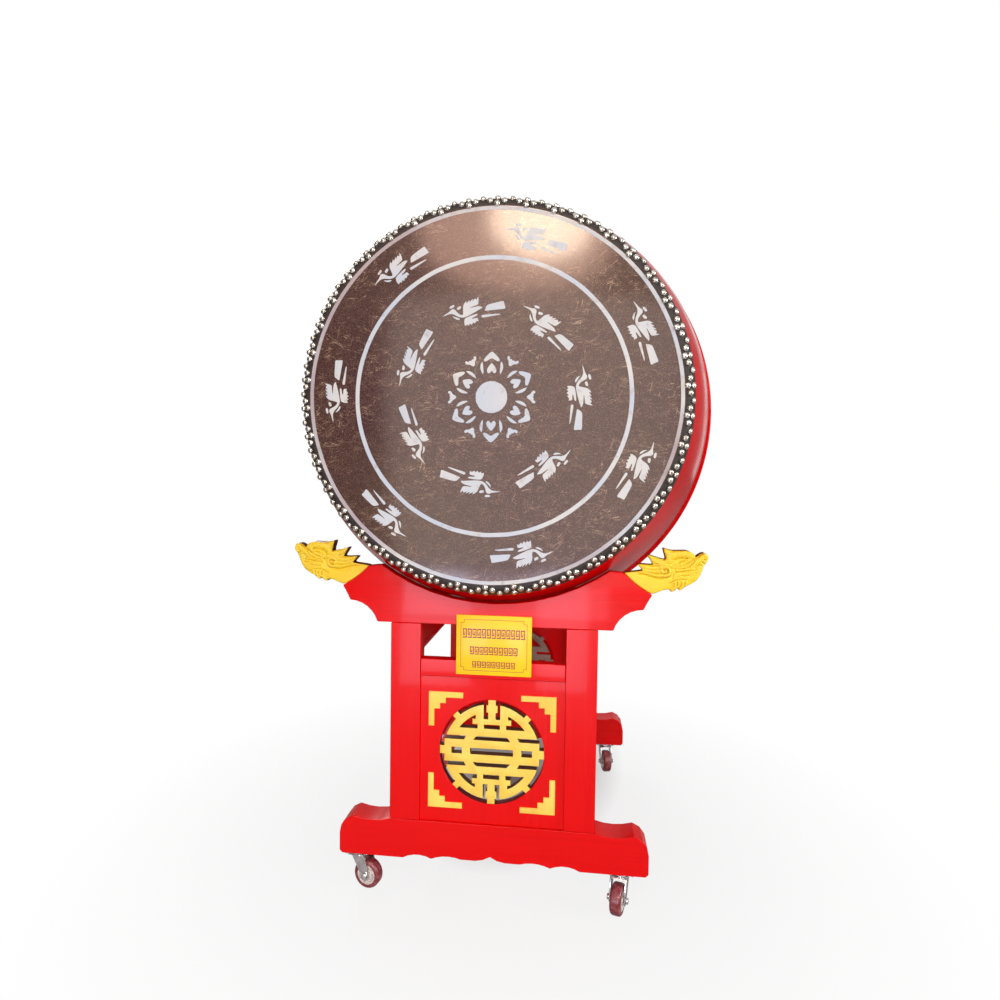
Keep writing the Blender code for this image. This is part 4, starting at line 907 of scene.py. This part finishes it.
def smooth_path(points, steps=6):
    """A Catmull-Rom curve through the points."""
    ends = [points[0]] + list(points) + [points[-1]]
    curve = []
    for before, start, end, after in zip(ends, ends[1:], ends[2:], ends[3:]):
        for step in range(steps):
            t = step / steps
            weights = (-t + 2 * t ** 2 - t ** 3, 2 - 5 * t ** 2 + 3 * t ** 3, t + 4 * t ** 2 - 3 * t ** 3,
                       t ** 3 - t ** 2)
            curve.append(tuple(0.5 * sum(weight * value for weight, value in zip(weights, values))
                               for values in zip(before, start, end, after)))
    return curve + [points[-1]]


def path_distance(spots, path):
    """For each spot, its distance to a path and how far along it the nearest place lies, from 0 to 1."""
    best = np.full(len(spots), 1e9)
    share = np.zeros(len(spots))
    corners = np.array(path)
    count = len(corners) - 1
    for index in range(count):
        start, step = corners[index], corners[index + 1] - corners[index]
        along = np.clip(((spots - start) @ step) / max(step @ step, 1e-9), 0.0, 1.0)
        distance = np.linalg.norm(spots - start - along[:, None] * step, axis=1)
        nearer = distance < best
        best[nearer] = distance[nearer]
        share[nearer] = (index + along[nearer]) / count
    return best, share


# Forms of a carved dragon head, in millimetres outwards and upwards from the middle of the board's bottom
# edge. Each form is a path, its half width at both ends and its height at both ends.
FORMS = (
    # Neck, plain and gently rounded
    (((292, 117), (316, 105), (338, 93)), (30, 24), (4.2, 4.2)),
    (((338, 96), (356, 99), (366, 102)), (17, 13), (4.2, 4.0)),
    # Jaw, chin and cheek
    (((428, 134), (419, 121), (400, 114), (381, 111)), (9, 9), (5.6, 5.0)),
    (((414, 128), (398, 124), (381, 121)), (8, 7), (6.0, 5.4)),
    # Snout with its curled nose
    (((384, 131), (402, 135), (418, 146), (431, 157), (438, 162)), (6.5, 6.0), (6.0, 7.4)),
    (((437, 163), (441, 156), (438, 150), (433, 152)), (5.0, 2.6), (7.4, 5.6)),
    (((429, 146), (434, 141), (428, 137)), (4.0, 2.0), (6.4, 5.0)),
    # Brow dome and the first spike of the mane
    (((410, 161), (396, 165), (380, 163), (366, 157)), (8.5, 8.0), (8.2, 6.6)),
    (((372, 160), (360, 166), (353.5, 175)), (8.0, 2.6), (6.6, 4.6)),
    # Eye under the brow
    (((408, 154), (395, 146), (381, 140), (372, 137)), (4.6, 2.6), (6.6, 5.4)),
    # Ear, coiled
    (((356, 118), (366, 122), (367, 132), (358, 137), (350, 131), (354, 125), (360, 128)), (3.6, 2.6),
     (7.4, 7.8)),
    # Mane
    (((366, 150), (350, 147), (334, 153), (321, 161)), (7.5, 2.4), (6.4, 4.4)),
    (((368, 140), (352, 143), (337, 147), (325, 153)), (4.4, 1.6), (7.2, 4.6)),
    (((350, 137), (334, 132), (318, 136), (300.5, 141.5)), (7.5, 2.2), (6.4, 4.2)),
    (((348, 128), (332, 128), (315, 128), (296, 126), (282, 123)), (6.5, 2.6), (6.6, 4.4)),
    (((352, 119), (340, 118), (326, 121), (310, 124)), (4.0, 1.6), (6.2, 4.4)),
    # Beard
    (((402, 106), (401, 101), (397, 97)), (3.4, 2.2), (5.6, 4.0)),
    (((394, 107), (394, 99), (388, 90)), (3.4, 2.2), (6.2, 4.2)),
    (((386, 107), (386, 99), (380, 92)), (3.4, 2.4), (6.0, 4.4)),
    (((378, 106), (379, 97), (372, 87)), (3.8, 2.6), (6.4, 4.2)),
)
# Knife cuts: a path, half width and depth
CUTS = (
    (((419.7, 158), (414, 147), (405, 138.5), (392, 134), (374, 134)), 1.5, 3.2),
    (((424, 133), (411, 131), (396, 128.5), (383, 127), (376, 122)), 1.3, 2.8),
    (((403, 153), (390, 148), (382, 141), (370, 138)), 1.1, 2.0),
    (((404, 158), (394, 154), (384, 153), (374, 149)), 1.0, 1.6),
    (((371, 117), (357, 113.5), (346, 112), (330, 115.5), (311, 120.5), (296, 121)), 1.5, 3.2),
    (((403, 110), (393, 112), (383, 111), (372, 106), (367, 101)), 1.2, 2.6),
    (((408, 121), (399, 119), (390, 119), (384, 115)), 1.0, 1.6),
    (((425, 127), (416, 125), (409, 126)), 0.9, 1.4),
    (((421, 142), (413, 139), (404, 133)), 0.9, 1.4),
    (((430, 151), (422, 145), (414, 141)), 0.9, 1.4),
    (((362, 152), (348, 150), (336, 155)), 0.9, 1.6),
    (((352, 139), (338, 139), (324, 143)), 0.9, 1.6),
    (((350, 132), (336, 130), (320, 131)), 0.9, 1.6),
    (((366, 163), (359, 168), (356, 172)), 0.9, 1.4),
)
# The ear's pit: its middle, radius and depth
PIT = (357.5, 130.0)
PIT_RADIUS = 1.6
PIT_DEPTH = 3.0
# Heights: plain ground, foot of a form, and the face of the board, all in millimetres
GROUND = 2.2
FORM_FOOT = 2.0
RELIEF = 8.0
PLAIN_RELIEF = 0.5
LOWEST = 0.3
ROUND_OFF = 2.6
# Mesh of the carving: distance between points on its rim and inside it, then between rows and to the rim in
# shares of that
RIM_STEP = 1.6
PITCH = 1.25
ROW_SHARE = 0.87
RIM_SHARE = 0.45
# Relief value, which sets painted shade in the grooves and a painted highlight on the ridges: how far round a
# point its height is compared, and how much a difference counts
RELIEF_REACH = 1.5
RELIEF_GAIN = 0.55
# The line where the neck meets the board and stays sharp: its middle and how far it reaches
NECK = (273.0, 122.0)
NECK_REACH = (60.0, 45.0)


def carved_height(spots):
    """Height of the carving over its lowest ground, in millimetres."""
    height = np.full(len(spots), GROUND)
    for path, widths, heights in FORMS:
        distance, share = path_distance(spots, smooth_path(path))
        width = widths[0] + (widths[1] - widths[0]) * share
        top = heights[0] + (heights[1] - heights[0]) * share
        ratio = np.clip(distance / width, 0.0, 1.0)
        height = np.maximum(height, FORM_FOOT + (top - FORM_FOOT) * (1.0 - ratio ** 2.4) ** 0.6)
    for path, width, depth in CUTS:
        distance, share = path_distance(spots, smooth_path(path))
        fade = np.clip(np.minimum(share, 1.0 - share) * 6.0, 0.15, 1.0)
        height -= depth * fade * np.exp(-(distance / width) ** 2)
    centre = np.linalg.norm(spots - np.array(PIT), axis=1)
    return height - PIT_DEPTH * np.exp(-(centre / PIT_RADIUS) ** 2)


def head_outline(node):
    """A dragon head's outline, anticlockwise in millimetres, the place of its face along Y and its depth."""
    shape = cad_copy(node)
    side = 1.0 if NODES[node].data.vertices[0].co.y > 0.0 else -1.0
    shape.normal_update()
    face = max(shape.faces, key=lambda item: item.calc_area() * (item.normal.y * side > 0.99))
    outline = [(abs(vert.co.x) * 1000.0, (vert.co.z - BOARD_BOTTOM) * 1000.0) for vert in face.verts]
    outer = face.verts[0].co.y
    depth = abs(outer - min((vert.co.y for vert in shape.verts), key=lambda y: abs(y)))
    shape.free()
    turn = sum(a[0] * b[1] - b[0] * a[1] for a, b in zip(outline, outline[1:] + outline[:1]))
    return outline if turn > 0.0 else outline[::-1], outer, depth


def carve_head():
    """The carved face of a dragon head, worked out once: places, triangles, heights and relief values."""
    outline = [tuple(point) for point in softened(softened(head_outline("front_left_dragon_head")[0]))]
    rim = []
    for start, end in zip(outline, outline[1:] + outline[:1]):
        steps = max(1, int(math.dist(start, end) / RIM_STEP))
        rim += [tuple(a + (b - a) * step / steps for a, b in zip(start, end)) for step in range(steps)]
    low = np.min(rim, axis=0)
    high = np.max(rim, axis=0)
    pitch = PITCH
    rows = [[(x + (0.5 * pitch if row % 2 else 0.0), y) for x in np.arange(low[0], high[0], pitch)]
            for row, y in enumerate(np.arange(low[1], high[1], pitch * ROW_SHARE))]
    grid = np.array([spot for row in rows for spot in row])
    edge = path_distance(grid, rim + rim[:1])[0]
    spots = [Vector(point) for point in rim] + [Vector(point) for point in grid[edge > RIM_SHARE * pitch]]
    links = [(index, (index + 1) % len(rim)) for index in range(len(rim))]
    cut = delaunay_2d_cdt(spots, links, [], 1, 1e-5)
    places = np.array([tuple(point) for point in cut[0]])
    edge = path_distance(places, rim + rim[:1])[0]
    height = carved_height(places)
    steps = [RELIEF_REACH * np.array((math.cos(angle), math.sin(angle))) for angle in around(6)]
    nearby = [carved_height(places + step) for step in steps]
    # The relief value only colours the carving: painted shade where a point lies below its neighbours,
    # painted highlight where it stands above
    relief = np.clip(PLAIN_RELIEF + (height - np.mean(nearby, axis=0)) * RELIEF_GAIN, 0.0, 1.0)
    round_off = ROUND_OFF * (1.0 - np.clip(edge / ROUND_OFF, 0.0, 1.0)) ** 2
    neck = ((places - np.array(NECK)) / np.array(NECK_REACH)).sum(axis=1)
    round_off *= np.clip((neck + 0.15) * 8.0, 0.1, 1.0)
    return places, cut[2], np.maximum(height - round_off, LOWEST), relief


def make_dragon_head(end, side, carving):
    node = f"{end}_{side}_dragon_head"
    places, triangles, height, relief = carving
    outer, depth = head_outline(node)[1:]
    flip = -1.0 if side == "left" else 1.0
    inward = -1.0 if outer > 0.0 else 1.0
    shape = bmesh.new()
    layer = shape.verts.layers.float.new("relief")
    front = []
    for (across, up), level, value in zip(places, height, relief):
        sunk = outer + inward * (RELIEF - min(level, RELIEF)) * 0.001
        front.append(shape.verts.new((flip * across * 0.001, sunk, BOARD_BOTTOM + up * 0.001)))
        front[-1][layer] = value
    for triangle in triangles:
        shape.faces.new([front[index] for index in triangle])
    rim = [edge for edge in shape.edges if edge.is_boundary]
    for item in bmesh.ops.extrude_edge_only(shape, edges=rim)["geom"]:
        if isinstance(item, bmesh.types.BMVert):
            item.co.y = outer + inward * depth
            item[layer] = PLAIN_RELIEF
        elif isinstance(item, bmesh.types.BMFace):
            item.material_index = 1
    rim = [edge for edge in shape.edges if edge.is_boundary]
    for face in bmesh.ops.contextual_create(shape, geom=rim)["faces"]:
        face.material_index = 0
    face_outwards(shape)
    piece(node + "_carving", shape, "stand", ["carving", "sawn"], [node], smooth=58.0)


def make_heads():
    carving = carve_head()
    for end, side in CORNERS:
        make_dragon_head(end, side, carving)


def flat_bar(shape, low, high, front, depth):
    """A thin bar on the plaque, from its low to its high corner in x and z."""
    corners = [(low[0], low[1]), (high[0], low[1]), (high[0], high[1]), (low[0], high[1])]
    rows = [[shape.verts.new((x, y, z)) for x, z in corners] for y in (front, front + depth)]
    shape.faces.new(rows[0])
    shape.faces.new(rows[1][::-1])
    for index in range(4):
        after = (index + 1) % 4
        shape.faces.new((rows[0][index], rows[0][after], rows[1][after], rows[1][index]))


def make_plaque():
    """Yellow plate with a fine border and three rows of plain key fret."""
    slab = cad_copy("plaque")
    low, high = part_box("plaque")
    front = low[1]
    for vert in slab.verts:
        vert.co.y = max(vert.co.y, front + INK_DEPTH)
    piece("plaque_plate", bevelled(slab, *PLATE_BEVEL), "stand", ["plaque"], ["plaque"],
          smooth=30.0)
    left, right = low[0] + BORDER_INSET[0], high[0] - BORDER_INSET[0]
    bottom, top = low[2] + BORDER_INSET[1], high[2] - BORDER_INSET[1]
    line, notch = BORDER_LINE, BORDER_NOTCH
    bars = [((left + notch, top - line), (right - notch, top)),
            ((left + notch, bottom), (right - notch, bottom + line)),
            ((left, bottom + notch), (left + line, top - notch)),
            ((right - line, bottom + notch), (right, top - notch))]
    for x, away in ((left, 1), (right, -1)):
        for z, up in ((bottom, 1), (top, -1)):
            inner = (x + away * notch, z + up * notch)
            flat = sorted((x, inner[0])), sorted((inner[1], inner[1] + up * line))
            tall = sorted((inner[0], inner[0] + away * line)), sorted((z, inner[1]))
            bars += [((across[0], height[0]), (across[1], height[1])) for across, height in (flat, tall)]
    for count, z, height in FRET_ROWS:
        for index in range(count):
            x = (left + right) / 2 + (index - count / 2 + 0.08) * FRET_PITCH
            bars += [((x + x0 * FRET_PITCH, z + z0 * height), (x + x1 * FRET_PITCH, z + z1 * height))
                     for x0, z0, x1, z1 in FRET_KEY]
    shape = bmesh.new()
    for bar_low, bar_high in bars:
        flat_bar(shape, bar_low, bar_high, front + INK_LIFT, INK_DEPTH + INK_SINK)
    face_outwards(shape)
    piece("plaque_border", shape, "stand", ["ink"], smooth=0.0)


def centre_of(node):
    low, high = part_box(node)
    return (Vector(low) + Vector(high)) / 2


def make_caster(name):
    axle = centre_of(name + "_axle")
    plate = centre_of(name + "_plate")
    turn = Matrix.Rotation(math.atan2(axle.y - plate.y, axle.x - plate.x), 4, "Z")
    swivel, wheel = name + "_swivel", name + "_wheel"
    at_axle = Matrix.Translation(axle) @ turn
    plate_shape = bevelled(cad_copy(name + "_plate"), *PLATE_BEVEL)
    for x, y in BOLT_PLACES:
        add_knob(plate_shape, Vector((plate.x + x, plate.y + y, BOLT_Z)), Vector((0.0, 0.0, -1.0)), BOLT,
                 BOLT_SIZE, BOLT_SIDES)
    face_outwards(plate_shape)
    fork = bevelled(cad_copy(name + "_fork"), *FORK_BEVEL)
    bolt = bevelled(cad_copy(name + "_axle"), *AXLE_BEVEL)
    for ending, shape, body, node in (("_plate_steel", plate_shape, "stand", "_plate"),
                                      ("_fork_steel", fork, swivel, "_fork"),
                                      ("_axle_bolt", bolt, swivel, "_axle")):
        piece(name + ending, shape, body, ["zinc"], [name + node], smooth=40.0)
    hub = rounded(list(HUB_SIDE) + other_side(HUB_SIDE), HUB_ROUNDING, 2)
    piece(name + "_hub_rings", lathe(hub, HUB_STEPS), wheel, ["hub"], [name + "_hub"],
          smooth=50.0, matrix=at_axle)
    half = [(HUB_RIM + FIT, TREAD_HALF - TREAD_FOOT[1]), (HUB_RIM + TREAD_FOOT[0], TREAD_HALF)]
    outward, sideways = TREAD_ROUNDING
    for angle in spaced(0.0, math.pi / 2, 9):
        half.append((WHEEL_RADIUS - outward * (1.0 - math.sin(angle)),
                     TREAD_HALF - sideways * (1.0 - math.cos(angle))))
    tread = lathe(half + other_side(half), TREAD_STEPS)
    piece(name + "_tyre", tread, wheel, ["tread"], [name + "_tread"], smooth=50.0,
          matrix=at_axle)


def make_casters():
    for end, side in CORNERS:
        make_caster(f"{end}_{side}_caster")


def make_floor():
    """Pale floor that fades to white away from the object and still takes its shadow, with painted shade in
    an oval under and behind the stand.
    """
    shape = bmesh.new()
    bmesh.ops.create_circle(shape, cap_ends=True, segments=96, radius=FLOOR_RADIUS)
    made = Paint("floor", roughness=0.9, specular=0.2)
    made.colour(made.blend(made.noise(1.5, 2.0), 0.3, 0.7, (0.38, 0.38, 0.38), (0.40, 0.40, 0.40)))
    away = made.ramp(made.distance(made.where, (0.0, 0.0, 0.0)), *FLOOR_FADE)
    # Painted shade: in an oval under and behind the stand, the floor is kept from fading to white
    painted_shade = made.ramp(made.distance(made.scaled(PAINTED_SHADE_STRETCH), PAINTED_SHADE_CENTRE), *PAINTED_SHADE_FADE)
    rays = made.node("LightPath").outputs
    seen = made.math("MAXIMUM", rays["Is Camera Ray"], rays["Is Transmission Ray"])
    reflected = made.math("MULTIPLY", rays["Is Glossy Ray"], FLOOR_GLOSSY)
    share = made.math("MULTIPLY", made.math("MAXIMUM", seen, reflected), made.math("MULTIPLY", away, painted_shade))
    glow = made.node("Emission", {"Color": WHITE})
    blend = made.node("MixShader", {0: share, 1: made.shader.outputs[0], 2: glow.outputs[0]})
    output = next(item for item in made.tree.nodes if item.type == "OUTPUT_MATERIAL")
    made.set(output, "Surface", blend.outputs[0])
    floor = add_object("floor", mesh_of("floor", shape, [made.material]))


def make_world():
    """White behind the object, dim round it, and between the two in reflections."""
    world = bpy.data.worlds.new("studio")
    world.use_nodes = True
    bpy.context.scene.world = world
    made = Nodes(world.node_tree)
    back = made.tree.nodes["Background"]
    made.set(back, "Color", WHITE)
    rays = made.node("LightPath").outputs
    apart = made.node("SeparateXYZ", {0: made.node("TexCoord").outputs["Generated"]}).outputs
    sky = made.ramp(apart["Z"], *SKY_HEIGHTS, *WORLD_GLOSSY)
    # A ring of light round the far end, which shows only along round edges
    ring = made.math("MULTIPLY", *[made.ramp(apart["Y"], low, high) for low, high in RIM_EDGES])
    strength = made.ramp(rays["Is Glossy Ray"], 0.0, 1.0, WORLD_DIM, made.math("MAXIMUM", ring, sky))
    for kind in ("Is Camera Ray", "Is Transmission Ray"):
        strength = made.math("MAXIMUM", strength, made.ramp(rays[kind], 0.0, 1.0, WORLD_DIM, 1.0))
    made.set(back, "Strength", strength)


def add_lamp(name, shape, place, target, size, power, tint):
    data = bpy.data.lights.new(name, "AREA")
    data.shape = shape
    data.size, data.size_y = size
    data.energy = power
    data.color = tint
    lamp = add_object(name, data)
    lamp.location = place
    lamp.rotation_euler = (Vector(target) - Vector(place)).to_track_quat("-Z", "Y").to_euler()


def make_camera():
    yaw, pitch, roll = (math.radians(angle) for angle in CAMERA_ANGLES)
    data = bpy.data.cameras.new("camera")
    data.sensor_width = SENSOR_WIDTH
    data.lens = CAMERA_LENS
    camera = add_object("camera", data)
    aim = Matrix.Rotation(yaw, 4, "Z") @ Matrix.Rotation(math.pi / 2 - pitch, 4, "X")
    camera.matrix_world = Matrix.Translation(CAMERA_PLACE) @ aim @ Matrix.Rotation(roll, 4, "Z")
    bpy.context.scene.camera = camera


def make_studio():
    make_floor()
    make_world()
    for lamp in LAMPS:
        add_lamp(*lamp)
    make_camera()
    bpy.context.scene.view_settings.view_transform = "Standard"


make_drum()
make_stand()
make_heads()
make_plaque()
make_casters()
make_studio()
